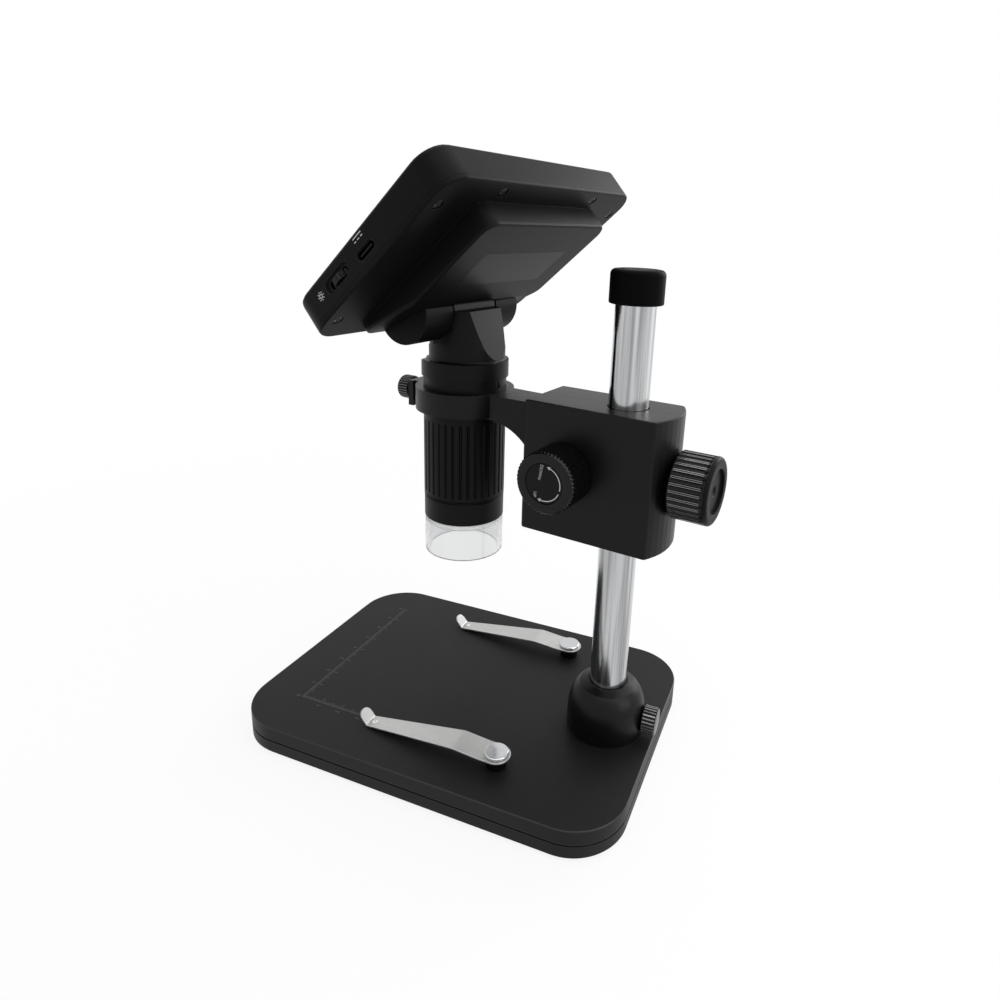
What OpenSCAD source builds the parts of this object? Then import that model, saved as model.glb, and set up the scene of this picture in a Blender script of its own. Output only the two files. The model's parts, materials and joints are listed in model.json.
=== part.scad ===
// Desktop digital microscope: a tilting screen head and barrel on a sliding, swivelling stand.
// Millimetres. The origin is the middle of the footprint on the table, the user stands at -Y,
// and the column stands near the back edge, at +Y.

/* [Base] */
// Width of the base
base_w = 120; // [110:1:150]
// Depth of the base
base_l = 168; // [150:1:200]
// Height of the lower tray
tray_h = 6.2; // [4.6:0.1:8]
// Height of the upper cover
cover_h = 6.2; // [6:0.1:10]
// Corner radius of the base
base_corner = 22; // [14:1:30]
// Fillet on the cover's upper edge
base_edge = 0.6; // [0.4:0.1:2]
// Wall of the cover
base_wall = 2.4; // [1.6:0.1:3]
// Thickness of the ballast plate
ballast_h = 3.4; // [2:0.1:3.6]
// Height of the feet under the tray
foot_h = 1; // [0.6:0.1:3]
// Diameter of a foot
foot_d = 13; // [8:0.5:18]
// Distance of a foot from the base's edges
foot_inset = 17; // [14:0.5:24]
// Distance of a base screw from the base's edges
base_screw_inset = 28; // [26:0.5:34]

/* [Column] */
// Diameter of the column
column_d = 15; // [12:0.5:18]
// Wall of the column
column_wall = 1.5; // [1:0.1:2.5]
// Length of the column above the base
column_h = 186.6; // [170:1:230]
// Distance of the column from the middle of the base
column_back = 62.8; // [56:0.1:70]
// Diameter of the column's end cap
end_cap_d = 19.7; // [18.5:0.1:24]
// Height of the end cap
end_cap_h = 12; // [8:0.5:16]
// Foot diameter of the column socket
socket_d = 32.4; // [28:0.2:36]
// Shoulder diameter of the column socket
socket_top_d = 23; // [22:0.2:27]
// Height of the column socket
socket_h = 22; // [18:0.5:30]
// Height of the set screw above the base
set_screw_up = 7.9; // [6.5:0.1:10]

/* [Stage clips] */
// Distance between the two clip rivets
clip_span = 81; // [60:0.5:84]
// Place of the rivets behind the middle of the base
clip_back = 31.5; // [20:0.5:36]
// Length of a clip from its rivet to its bend
clip_reach = 58.1; // [45:0.5:70]
// Width of a clip at the rivet
clip_w = 11.2; // [9:0.2:13]
// Width of a clip at its bend
clip_tip_w = 6.4; // [5:0.2:8]
// Thickness of the clip strip
clip_t = 0.8; // [0.5:0.1:1.2]
// Height of the strip's underside over the base at the rivet
clip_up = 4.4; // [3.5:0.1:6]
// Diameter of a rivet's head
rivet_d = 9.6; // [7:0.2:11]

/* [Carriage] */
// Turn of the carriage about the column
swing = -7.85; // [-30:0.05:30]
// Height of the block's underside over the base
block_up = 87; // [60:0.5:100]
// Width of the block
block_w = 30; // [28:0.1:34]
// Height of the block
block_h = 52; // [46:0.5:60]
// Reach of the block in front of the column
block_front = 36; // [34:0.1:38]
// Reach of the block behind the column, at its corners
block_back = 16.7; // [14:0.1:20]
// How far the block's back face bulges
block_bulge = 4; // [2:0.1:6]
// Fillet of the block
block_edge = 0.8; // [0.6:0.1:2.5]
// Wall of the sleeve that runs on the column
sleeve_wall = 1.5; // [1:0.1:2]
// Distance of the focus shaft in front of the column
shaft_front = 17.7; // [17.5:0.1:19]
// Height of the focus shaft in the block
shaft_up = 26.7; // [24:0.1:28]
// Diameter of the focus shaft
shaft_d = 6; // [4:0.5:6.5]
// Diameter of the focus knob
focus_knob_d = 23.8; // [18:0.2:30]
// Distance of the focus knob's face from the middle of the block
focus_knob_out = 30; // [26:0.5:36]
// Diameter of the lock knob
lock_knob_d = 25.6; // [18:0.2:30]
// Distance of the lock knob's face from the column
lock_knob_out = 36.5; // [32:0.5:44]
// Height of the lock knob's axis in the block
lock_up = 26.5; // [20:0.5:30]
// Tooth size of the rack and pinion
gear_module = 0.8; // [0.7:0.05:0.85]
// Teeth on the pinion
pinion_teeth = 12; // [10:1:13]

/* [Arm] */
// Distance from the column to the barrel
reach = 74.05; // [68:0.5:90]
// Distance of the arm's top under the block's top
arm_drop = 3; // [2.5:0.1:5]
// Width of the arm at the block
arm_w = 15.6; // [12:0.2:16]
// Width of the arm at the ring
arm_ring_w = 19; // [16:0.2:22]
// Height of the arm over its arch
arm_t = 9.9; // [8:0.1:12]
// Radius of the arch under the arm
arch_r = 24; // [18:0.5:25]
// Height of the slider in the block
slider_h = 24; // [20:0.5:25]
// Travel of the arm
arm_travel = 20; // [10:0.5:20]
// Height of the barrel ring
ring_h = 9.3; // [7:0.1:12]
// Wall of the barrel ring
ring_wall = 3.3; // [2.5:0.1:5]

/* [Barrel] */
// Turn of the barrel in its ring
scope_turn = -1.5; // [-20:0.1:20]
// Diameter of the barrel
barrel_d = 34.2; // [32:0.1:38]
// Bore of the barrel
barrel_bore = 19; // [16:0.5:19.5]
// Barrel seen above the ring
barrel_rise = 4.9; // [3:0.1:8]
// Height of the focus ring
grip_h = 37.6; // [30:0.1:44]
// Grooves round the focus ring
grip_grooves = 34; // [24:1:40]
// Height of the nose ring
nose_h = 9.6; // [8.5:0.1:14]
// Height of the clear cap below the nose ring
clear_h = 16; // [10:0.5:24]
// Wall of the clear cap
clear_wall = 1.7; // [1.2:0.1:2.2]
// Travel of the lens cell
lens_travel = 5; // [2:0.5:8]

/* [Neck] */
// Height of the collar
collar_h = 6.9; // [5:0.1:9]
// Diameter of the collar
collar_d = 35.8; // [35:0.1:40]
// Radius of the neck
neck_r = 15.6; // [15.2:0.1:16]
// Shift of the neck behind the barrel's axis
neck_shift = 1; // [0:0.1:1.5]
// Height over the collar at which the neck starts to narrow
neck_straight = 5; // [4:0.5:10]
// Radius of the neck at the hinge
neck_top_r = 13.7; // [13.2:0.1:14]
// Fillet at the neck's foot
neck_foot = 1.1; // [0.6:0.1:1.2]
// Height over the collar at which the flat behind the neck starts
neck_flat_up = 0.8; // [0.5:0.1:3]
// Slope of the flat behind the neck, sideways per unit of height
neck_slope = 0.34; // [0.2:0.01:0.36]
// How far the collar's top falls towards the front
collar_fall = 2; // [0.5:0.1:2.5]
// Diameter of the snap button
button_d = 4.6; // [3:0.1:5]
// How far the snap button stands out of the collar
button_out = 2; // [1.4:0.1:2.5]
// Travel of the snap button
button_travel = 1.2; // [0.5:0.1:1.3]
// Height of the hinge over the collar
hinge_rise = 19.7; // [19:0.1:24]
// Distance of the hinge in front of the barrel's axis
hinge_front = 6.83; // [6:0.01:7.5]
// Diameter of the hinge pin
hinge_pin_d = 5; // [3:0.5:6]
// Radius of the neck's hinge eye
eye_r = 9; // [7:0.1:9.2]

/* [Screen head] */
// Angle between the screen and the table
tilt = 41.46; // [35:0.5:60]
// Width of the head
head_w = 124.7; // [120:0.5:140]
// Length of the head
head_l = 82.8; // [80.5:0.5:96]
// Thickness of the head without the rear bulge
head_t = 13.3; // [13:0.1:16]
// Corner radius of the head
head_corner = 9.5; // [7:0.5:12]
// Thickness of the rear cover's plate, which is also its wall
plate_t = 1.6; // [1.4:0.1:2]
// Wall of the front frame
frame_wall = 2; // [1.6:0.1:2.4]
// Distance of the hinge from the head's lower edge
hinge_up = 14.7; // [14.3:0.1:16]
// Distance of the hinge behind the plate
hinge_out = 2.76; // [2.4:0.02:3.2]
// Width of the rear bulge
bulge_w = 82.6; // [70:0.5:96]
// Lower edge of the bulge, from the head's lower edge
bulge_from = 2; // [1.5:0.1:3]
// Upper edge of the bulge, from the head's lower edge
bulge_to = 73.5; // [66:0.5:76]
// Depth of the bulge
bulge_t = 9; // [8:0.1:11]
// Depth of the bulge at its lower edge
bulge_lip = 2; // [1.5:0.1:3]
// Where the bulge's slope ends, from the head's lower edge
bulge_slope_to = 28; // [27:0.5:36]
// Corner radius of the bulge
bulge_corner = 6; // [4:0.5:8]
// Radius of the hinge lobes
lobe_r = 11.8; // [11:0.1:12]
// Outer distance of a hinge lobe from the middle
lobe_out = 29.7; // [24:0.5:36]
// Half of the width of the slot for the neck
slot_half = 14.3; // [14.1:0.1:15]
// Upper end of the slot, from the head's lower edge
slot_to = 27; // [26:0.1:28]
// Width of the display module
lcd_w = 103; // [96:0.5:103]
// Height of the display module
lcd_l = 67.2; // [60:0.1:67.5]
// Thickness of the display module
lcd_t = 2.9; // [2:0.1:3]
// Width of the glass
glass_w = 103; // [90:0.5:112]
// Height of the glass
glass_l = 61; // [54:0.5:62]
// Thickness of the glass
glass_t = 1.2; // [0.8:0.1:1.4]
// Rim that holds the glass
glass_rim = 2; // [1.5:0.1:3]
// Gap above the glass
glass_top = 4; // [4:0.1:6]
// Diameter of a key
key_d = 6; // [4:0.2:6.6]
// Distance between two keys
key_pitch = 17; // [12:0.5:22]
// Height of the keys' row, from the head's lower edge
key_up = 8.4; // [7.5:0.1:9]
// Travel of a key
key_travel = 0.6; // [0.3:0.1:0.7]

/* [Inside the head] */
// Width of the main board
board_w = 115.5; // [100:0.5:116]
// Height of the main board
board_l = 48; // [40:0.5:50]
// Thickness of the main board
board_t = 1.6; // [1:0.1:2]
// Width of the cell
cell_w = 60; // [40:1:64]
// Height of the cell
cell_l = 36; // [30:0.5:38]
// Thickness of the cell
cell_t = 4.4; // [3:0.1:4.6]
// Height of the key board
key_board_l = 7; // [6:0.1:7.4]

/* [Clearances] */
// Radial clearance of a pin, a shaft or a running ring
fit = 0.05; // [0.02:0.01:0.1]
// Gap between sliding and facing parts
gap = 0.2; // [0.1:0.05:0.3]

/* [Hidden] */
$fn = 64;
eps = 0.01;

// Heights and places of the stand
tray_floor = 2;
tray_rib = 1.6;
tray_rib_pitch = 20;
bell_cap = 1.2;
tray_boss_r = 5;
foot_sunk = 0.6;
cover_z = foot_h + tray_h;
deck_z = cover_z + cover_h;
column_r = column_d / 2;
clip_x = clip_span / 2;
block_z = deck_z + block_up;

// Inside the block, measured from the column's axis and the block's underside
half_w = block_w / 2;
sleeve_r = column_r + sleeve_wall;
lip_h = 1.5;
lip_r = column_r + 0.4;
pitch_r = gear_module * pinion_teeth / 2;
gear_pitch = PI * gear_module;
tooth_play = 0.26;
pinion_tip = pitch_r + gear_module - 0.05;
pinion_root = pitch_r - 1.25 * gear_module;
rack_tip_y = -shaft_front - pitch_r + 0.9 * gear_module;
rack_root_y = -shaft_front - pitch_r - 1.2 * gear_module;
slider_back_y = rack_root_y - 2.5;
slider_t = 5.2;
slider_front_y = slider_back_y - slider_t;
slider_half = arm_w / 2 + 2.7;
arm_top = block_h - arm_drop;
slider_bottom = arm_top - slider_h;
arch_z = arm_top - arm_t - arch_r;
gear_w = 8;
lock_shank_d = 6;
lock_nut_d = 12;
lock_nut_h = 5;

// Barrel, measured from the arm's top face
barrel_r = barrel_d / 2;
spigot_r = barrel_r - 3.1;
bore_r = barrel_bore / 2;
ring_r = barrel_r + ring_wall;
clamp_z = -5.1;
lug_out = 5.5;
grip_top = -ring_h - 0.15;
grip_bottom = grip_top - grip_h;
nose_top = grip_bottom - 0.1;
nose_bottom = nose_top - nose_h;
barrel_bottom = nose_bottom + 3.6;
recess_r = barrel_r - 1.6;
clear_top = nose_bottom - 0.05;
clear_r = barrel_r - 0.2;
collar_z = barrel_rise;
collar_top = collar_z + collar_h;
hinge_z = collar_top + hinge_rise;
button_up = button_d / 2 + 0.3;
button_back_y = -collar_d / 2 + 4.7;

// Head, measured from the hinge: x along the pin, y up the screen, z out of the screen
plate_z = hinge_out;
frame_z = plate_z + plate_t;
face_z = plate_z + head_t;
head_low = -hinge_up;
head_mid = head_low + head_l / 2;
wall_z = face_z - frame_wall;
swing_gap = 0.35;
pocket_r = eye_r + 0.5;
cheek = slot_half - 0.3;
lobe_pocket_r = norm([hinge_up - bulge_from, hinge_out - bulge_lip]) + swing_gap;
edge_swing_r = norm([hinge_up, hinge_out]) + swing_gap;
screw_spots = [
    [-57, 70.5], [57, 70.5], [-57, 11.1], [57, 11.1], [-31, 77.9], [31, 77.9]
];
port_z = plate_z + 5.7;
port_up = 42;
board_z = port_z - 1.6 - board_t;
dimmer_up = 25.7;
dimmer_z = plate_z + 7.2;
dimmer_r = 5.6;
dimmer_t = 2.4;
dimmer_x = head_w / 2 + 0.4 - dimmer_r;
key_y = head_low + key_up;
key_flange_t = 0.8;
lcd_y = head_low + head_l - frame_wall - 0.3 - lcd_l / 2;
glass_y = head_low + head_l - glass_top - glass_l / 2;

// ---- frames of the moving groups
module on_carriage() {
    translate([0, column_back, block_z]) rotate(swing) children();
}
module on_scope() {
    on_carriage() translate([0, -reach, arm_top]) rotate(scope_turn) children();
}
module on_head() {
    on_scope() translate([0, -hinge_front, hinge_z]) rotate([tilt, 0, 0]) children();
}

// ---- shared shapes
function arc(cx, cy, r, from, to, n) =
    [for (i = [0:n]) let (a = from + (to - from) * i / n) [cx + r * cos(a), cy + r * sin(a)]];
function unit(v) = v / norm(v);
function edge_normal(p, i) = let (d = unit(p[i + 1] - p[i])) [-d[1], d[0]];
function path_normal(p, i) =
    i == 0 ? edge_normal(p, 0) :
    i == len(p) - 1 ? edge_normal(p, i - 1) :
    let (a = edge_normal(p, i - 1), b = edge_normal(p, i)) (a + b) / (1 + a * b);
function band(p, t) = concat(p, [for (i = [len(p) - 1:-1:0]) p[i] + t * path_normal(p, i)]);

module rounded_rect(w, l, r) {
    square([w - 2 * r, l], center = true);
    square([w, l - 2 * r], center = true);
    for (x = [-1, 1], y = [-1, 1]) translate([x * (w / 2 - r), y * (l / 2 - r)]) circle(r);
}
module puck(r, h, low, high) {
    rim = concat(
        low > 0 ? arc(r - low, low, low, -90, 0, 3) : [[r, 0]],
        high > 0 ? arc(r - high, h - high, high, 0, 90, 3) : [[r, h]]
    );
    rotate_extrude($fn = 32) polygon(concat([[0, 0]], rim, [[0, h]]));
}
module soft_plate(w, l, h, r, low, high) {
    hull() for (x = [-1, 1], y = [-1, 1])
        translate([x * (w / 2 - r), y * (l / 2 - r), 0]) puck(r, h, low, high);
}
module tube(outer, inner, h) {
    difference() {
        cylinder(r = outer, h = h);
        translate([0, 0, -1]) cylinder(r = inner, h = h + 2);
    }
}
// A side outline, drawn in Y and Z, given its width along X
module side_extrude(w) {
    rotate([90, 0, 90]) translate([0, 0, -w / 2]) linear_extrude(w) children();
}
module along_x() { rotate([0, 90, 0]) children(); }
module along_back() { rotate([-90, 0, 0]) children(); }
module along_front() { rotate([90, 0, 0]) children(); }
// A round grip with straight flutes; the flutes are as deep as they are narrow
module fluted(r, h, flutes, flute_r) {
    linear_extrude(h) difference() {
        circle(r);
        for (i = [0:flutes - 1]) rotate(i * 360 / flutes) translate([r, 0]) circle(flute_r, $fn = 16);
    }
}

// ---- base
module base_corners(inset) {
    for (x = [-1, 1], y = [-1, 1])
        translate([x * (base_w / 2 - inset), y * (base_l / 2 - inset), 0]) children();
}
module foot_spots() {
    base_corners(foot_inset) children();
    children();
}
module base_cover() color("#2c2c2e") translate([0, 0, cover_z]) difference() {
    soft_plate(base_w, base_l, cover_h, base_corner, 0, base_edge);
    difference() {
        translate([0, 0, -1]) linear_extrude(cover_h - base_wall + 1)
            rounded_rect(base_w - 2 * base_wall, base_l - 2 * base_wall, base_corner - base_wall);
        base_corners(base_screw_inset) cylinder(r = 4.5, h = cover_h);
        translate([0, column_back, 0]) cylinder(d = socket_d, h = cover_h);
        for (x = [-clip_x, clip_x]) translate([x, clip_back, 0]) cylinder(r = 5, h = cover_h);
    }
    base_corners(base_screw_inset) translate([0, 0, -1]) cylinder(d = 3, h = cover_h - 1);
    for (x = [-clip_x, clip_x]) translate([x, clip_back, -1]) cylinder(d = 4, h = cover_h + 2);
    socket_screw_spots() translate([0, 0, -1]) cylinder(d = 3.2, h = cover_h + 2);
    socket_screw_spots() translate([0, 0, -1]) cylinder(d = 6, h = 4);
}
module base_tray() color("#262628") translate([0, 0, foot_h]) difference() {
    union() {
        linear_extrude(0.8)
            rounded_rect(base_w - 1.2, base_l - 1.2, base_corner - 0.6);
        translate([0, 0, 0.8]) linear_extrude(tray_h - 1.4)
            rounded_rect(base_w, base_l, base_corner);
        translate([0, 0, tray_h - 0.6]) linear_extrude(0.6)
            rounded_rect(base_w - 1, base_l - 1, base_corner - 0.5);
    }
    foot_spots() translate([0, 0, -1]) cylinder(d = foot_d + 2 * fit, h = 1 + foot_sunk);
    translate([0, 0, tray_floor]) linear_extrude(tray_h) difference() {
        rounded_rect(base_w - 2 * base_wall, base_l - 2 * base_wall, base_corner - base_wall);
        base_corners(base_screw_inset) circle(r = tray_boss_r);
        for (i = [-2:2]) translate([i * tray_rib_pitch - tray_rib / 2, -base_l / 2]) square([tray_rib, base_l]);
        for (i = [-3:3]) translate([-base_w / 2, i * tray_rib_pitch - tray_rib / 2]) square([base_w, tray_rib]);
    }
    base_corners(base_screw_inset) translate([0, 0, -1]) cylinder(d = 3.2, h = tray_h + 2);
    base_corners(base_screw_inset) translate([0, 0, -1]) cylinder(d = 6, h = 3.4);
}
module ballast_plate() color("#8f9093") translate([0, 0, cover_z]) linear_extrude(ballast_h) difference() {
    rounded_rect(base_w - 2 * base_wall - 1, base_l - 2 * base_wall - 1, base_corner - base_wall);
    base_corners(base_screw_inset) circle(r = 5);
    translate([0, column_back]) circle(d = socket_d + 1);
    for (x = [-clip_x, clip_x]) translate([x, clip_back]) circle(r = 5.5);
}
module base_feet() color("#161616") foot_spots() cylinder(d = foot_d, h = foot_h + foot_sunk);
module base_screws() color("#55565a") translate([0, 0, foot_h]) base_corners(base_screw_inset) {
    translate([0, 0, 0.4]) cylinder(d = 5.6, h = 2);
    cylinder(d = 2.9, h = tray_h + cover_h - 2.6);
}

// ---- column and its socket
module socket_screw_spots() {
    translate([0, column_back, 0]) for (a = [30, 150, 270]) rotate(a) translate([11.5, 0, 0]) children();
}
module socket_fixings() color("#55565a") socket_screw_spots() {
    translate([0, 0, cover_z + 0.6]) cylinder(d = 5.6, h = 2.4);
    translate([0, 0, cover_z + 1]) cylinder(d = 2.9, h = cover_h + 5);
}
// Radius of the bell at a share s of its height, from the wide foot to the shoulder
function bell_r(s) = socket_top_d / 2 + (socket_d - socket_top_d) / 2 * (1 - pow(s, 5));
// Shares of the bell's height that lie closer together toward its rounded shoulder
function bell_share(i) = 1 - pow(1 - i / 8, 1.6);
module column_socket() color("#232325") difference() {
    translate([0, column_back, deck_z]) rotate_extrude() difference() {
        polygon(concat(
            [[0, 0]],
            [for (i = [0:8]) [bell_r(bell_share(i)), (socket_h - bell_cap) * bell_share(i)]],
            [[column_r + 1, socket_h], [0, socket_h]]
        ));
        translate([-1, -1]) square([1 + column_r + fit, socket_h + 2]);
    }
    translate([0, column_back, deck_z + set_screw_up]) along_back()
        cylinder(d = 5 + 2 * fit, h = socket_d);
    socket_screw_spots() translate([0, 0, deck_z - 1]) cylinder(d = 3, h = 7);
}
module column() color("silver") translate([0, column_back, deck_z])
    tube(column_r, column_r - column_wall, column_h);
module end_cap() color("#1b1b1d") translate([0, column_back, deck_z + column_h + 2 - end_cap_h]) difference() {
    rotate_extrude() polygon(concat(
        [[0, 0], [end_cap_d / 2 - 0.5, 0], [end_cap_d / 2, 0.5]],
        arc(end_cap_d / 2 - 2, end_cap_h - 2, 2, 0, 90, 5),
        [[0, end_cap_h]]
    ));
    translate([0, 0, -1]) cylinder(r = column_r + fit, h = end_cap_h - 2 + 1);
    translate([0, 0, end_cap_h - 0.6]) tube(end_cap_d / 2 - 3.2, end_cap_d / 2 - 4, 1);
}
module set_screw() color("#1b1b1d") translate([0, column_back, deck_z + set_screw_up]) along_back() {
    translate([0, 0, column_r + 0.05]) cylinder(d = 5, h = socket_d / 2 - column_r + 1);
    translate([0, 0, bell_r((set_screw_up - 5.6) / (socket_h - bell_cap)) + 0.2]) fluted(5.6, 5.6, 20, 0.5);
}

// ---- stage clips
clip_bend_y = -clip_reach;
clip_kink_y = -16.4;
clip_tail = clip_w / 2;
clip_path = [
    [clip_tail, clip_up], [-clip_tail, clip_up], [clip_kink_y + 1, clip_up + 1], [clip_kink_y - 1, clip_up + 0.95],
    [clip_bend_y + 1.2, 0.35 + 0.12], [clip_bend_y, 0.35], [clip_bend_y - 0.9, 0.9],
    [clip_bend_y - 4, 5.2]
];
module clip_strip() color("silver") difference() {
    intersection() {
        side_extrude(clip_w + 2) polygon(band([for (i = [len(clip_path) - 1:-1:0]) clip_path[i]], clip_t));
        linear_extrude(20) union() {
            circle(d = clip_w);
            polygon([
                [-clip_w / 2, 0], [-clip_w / 2, clip_kink_y], [-clip_tip_w / 2, clip_bend_y],
                [-clip_tip_w / 2, clip_bend_y - 3], [-clip_tip_w / 2 + 1.4, clip_bend_y - 5],
                [clip_tip_w / 2 - 1.4, clip_bend_y - 5], [clip_tip_w / 2, clip_bend_y - 3],
                [clip_tip_w / 2, clip_bend_y], [clip_w / 2, clip_kink_y], [clip_w / 2, 0]
            ]);
        }
    }
    cylinder(d = 4 + 2 * fit, h = 20);
}
module clip_left() translate([-clip_x, clip_back, deck_z]) clip_strip();
module clip_right() translate([clip_x, clip_back, deck_z]) clip_strip();
module clip_rivets() color("silver") for (x = [-clip_x, clip_x]) translate([x, clip_back, 0]) {
    translate([0, 0, cover_z + 0.5]) cylinder(d = 4, h = cover_h - 0.5 + clip_up + clip_t + 0.3);
    translate([0, 0, deck_z + clip_up + clip_t + 0.15]) rotate_extrude() polygon([
        [0, 0], [rivet_d / 2, 0], [rivet_d / 2, 0.7], [rivet_d / 2 - 0.5, 1.2], [0, 1.2]
    ]);
}
module clip_spacers() color("#1b1b1d") for (x = [-clip_x, clip_x]) translate([x, clip_back, deck_z])
    tube(4.1, 2 + fit, clip_up - 0.15);

// ---- carriage on the column
module column_sleeve() color("#3a3a3c") on_carriage() translate([0, 0, lip_h + 0.1]) difference() {
    tube(sleeve_r, column_r + fit, block_h - 2 * lip_h - 0.2);
    translate([-0.6, 0, -1]) cube([1.2, sleeve_r + 1, block_h]);
}
module block_outline(inset) {
    bulge_r = (pow(half_w, 2) + pow(block_bulge, 2)) / (2 * block_bulge);
    back_arc_y = block_back + block_bulge - bulge_r;
    corner = asin(half_w / bulge_r);
    r = block_edge + 0.6;
    offset(delta = -inset) offset(r = r) offset(delta = -r) polygon(concat(
        [[-half_w, -block_front], [half_w, -block_front]],
        arc(0, back_arc_y, bulge_r, 90 - corner, 90 + corner, 10)
    ));
}
module block_body() {
    hull() {
        translate([0, 0, block_edge]) linear_extrude(block_h - 2 * block_edge) block_outline(0, $fn = 32);
        translate([0, 0, block_edge * 0.3]) linear_extrude(block_h - 0.6 * block_edge)
            block_outline(block_edge * 0.3, $fn = 32);
        linear_extrude(block_h) block_outline(block_edge, $fn = 32);
    }
}
block_screw_spots = [[12.6, 6], [12.6, block_h - 6], [-14.5, 6], [-14.5, block_h - 6]];
module block_hollow() {
    // column, sleeve and lock screw
    translate([0, 0, -1]) cylinder(r = lip_r, h = block_h + 2);
    translate([0, 0, lip_h]) cylinder(r = sleeve_r + fit, h = block_h - 2 * lip_h);
    translate([0, 0, lock_up]) along_back() cylinder(d = lock_shank_d + 2 * fit, h = 40);
    translate([0, 11 - fit, lock_up]) along_back() cylinder(d = lock_nut_d + 2 * fit, h = lock_nut_h + 2 * fit);
    // slider, rack, pinion and shaft
    slot_low = slider_bottom - arm_travel - 0.4;
    slot_h = arm_top + 0.4 - slot_low;
    translate([-arm_w / 2 - gap, -block_front - 1, slot_low])
        cube([arm_w + 2 * gap, block_front + 1 + slider_front_y + 1, slot_h]);
    translate([-slider_half - gap, slider_front_y - gap, slot_low])
        cube([2 * slider_half + 2 * gap, slider_t + 2 * gap, slot_h]);
    translate([-gear_w / 2 - 0.5, slider_back_y, slot_low])
        cube([gear_w + 1, rack_tip_y + 0.4 - slider_back_y, slot_h]);
    translate([-gear_w / 2 - 0.5, -shaft_front, shaft_up]) along_x()
        cylinder(r = pinion_tip + 0.4, h = gear_w + 1);
    translate([-half_w - 1, -shaft_front, shaft_up]) along_x()
        cylinder(d = shaft_d + 2 * fit, h = block_w + 2);
    // screws that join the halves
    for (p = block_screw_spots) translate([-half_w - 1, p[0], p[1]]) along_x() {
        cylinder(d = 3, h = block_w - 3);
        cylinder(d = 5.8, h = 4);
    }
}
module block_half(side) color("#1e1e20") on_carriage() difference() {
    intersection() {
        block_body();
        translate([side > 0 ? 0.04 : -half_w - 5, -block_front - 5, -5])
            cube([half_w + 5 - 0.04, 90, block_h + 10]);
    }
    block_hollow();
}
module block_right() block_half(1);
module block_left() block_half(-1);
module block_screws() color("#55565a") on_carriage() for (p = block_screw_spots)
    translate([-half_w + 0.6, p[0], p[1]]) along_x() {
        cylinder(d = 5.4, h = 2.2);
        cylinder(d = 2.9, h = block_w - 5);
    }
module lock_nut() color("#b09a58") on_carriage() translate([0, 11, lock_up]) along_back() difference() {
    cylinder(d = lock_nut_d, h = lock_nut_h);
    translate([0, 0, -1]) cylinder(d = lock_shank_d + 2 * fit, h = lock_nut_h + 2);
}
module lock_knob() color("#161618") on_carriage() translate([0, 0, lock_up]) along_back() {
    block_end = block_back + block_bulge + 0.3;
    translate([0, 0, sleeve_r + 0.05]) cylinder(d = lock_shank_d, h = block_end - sleeve_r + 1);
    difference() {
        translate([0, 0, block_end]) union() {
            cylinder(r = lock_knob_d / 2 - 1.6, h = 1.6);
            translate([0, 0, 1.2]) fluted(lock_knob_d / 2, lock_knob_out - block_end - 2, 30, 0.8);
            translate([0, 0, lock_knob_out - block_end - 1.2]) cylinder(r = lock_knob_d / 2 - 1.3, h = 1.2);
        }
        translate([0, 0, lock_knob_out - 1.2]) cylinder(r = lock_knob_d / 2 - 4.3, h = 5);
        translate([0, 0, lock_knob_out - 2.6]) cylinder(r = 2, h = 5);
    }
}

// ---- focus drive
module focus_shaft() color("silver") on_carriage() translate([-half_w + 0.3, -shaft_front, shaft_up]) along_x()
    cylinder(d = shaft_d, h = half_w + focus_knob_out - 3);
// Half the angle of an involute tooth at radius r
function inv(a) = tan(a) * 180 / PI - a;
function half_tooth(r) = let (base_r = pitch_r * cos(20), q = max(r, base_r))
    (gear_pitch - tooth_play) / 4 / pitch_r * 180 / PI + inv(20) - inv(acos(base_r / q))
    - (r < base_r ? (base_r - r) * 3.5 : 0);
module pinion() color("#b09a58") on_carriage() translate([-gear_w / 2, -shaft_front, shaft_up]) along_x() difference() {
    radii = [for (i = [0:5]) pinion_root - 0.1 + (pinion_tip - pinion_root + 0.1) * i / 5];
    linear_extrude(gear_w) union() {
        circle(pinion_root);
        for (i = [0:pinion_teeth - 1]) rotate(-90 + i * 360 / pinion_teeth) polygon(concat(
            [for (r = radii) r * [cos(half_tooth(r)), -sin(half_tooth(r))]],
            [for (i = [len(radii) - 1:-1:0]) let (r = radii[i]) r * [cos(half_tooth(r)), sin(half_tooth(r))]]
        ));
    }
    translate([0, 0, -1]) cylinder(d = shaft_d, h = gear_w + 2);
}
module focus_knob() color("#161618") on_carriage() translate([0, -shaft_front, shaft_up]) along_x() difference() {
    knob_in = half_w + 0.4;
    knob_l = focus_knob_out - knob_in;
    translate([0, 0, knob_in]) fluted(focus_knob_d / 2, knob_l, 36, 0.55);
    translate([0, 0, focus_knob_out - 1]) cylinder(r = focus_knob_d / 2 - 4.2, h = 3);
    translate([0, 0, knob_in - 1]) cylinder(d = shaft_d, h = knob_l - 2 + 1);
}
module focus_knob_disc() color("#202022") on_carriage() translate([focus_knob_out - 1, -shaft_front, shaft_up])
    along_x() cylinder(r = focus_knob_d / 2 - 4.3, h = 0.7);

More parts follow.
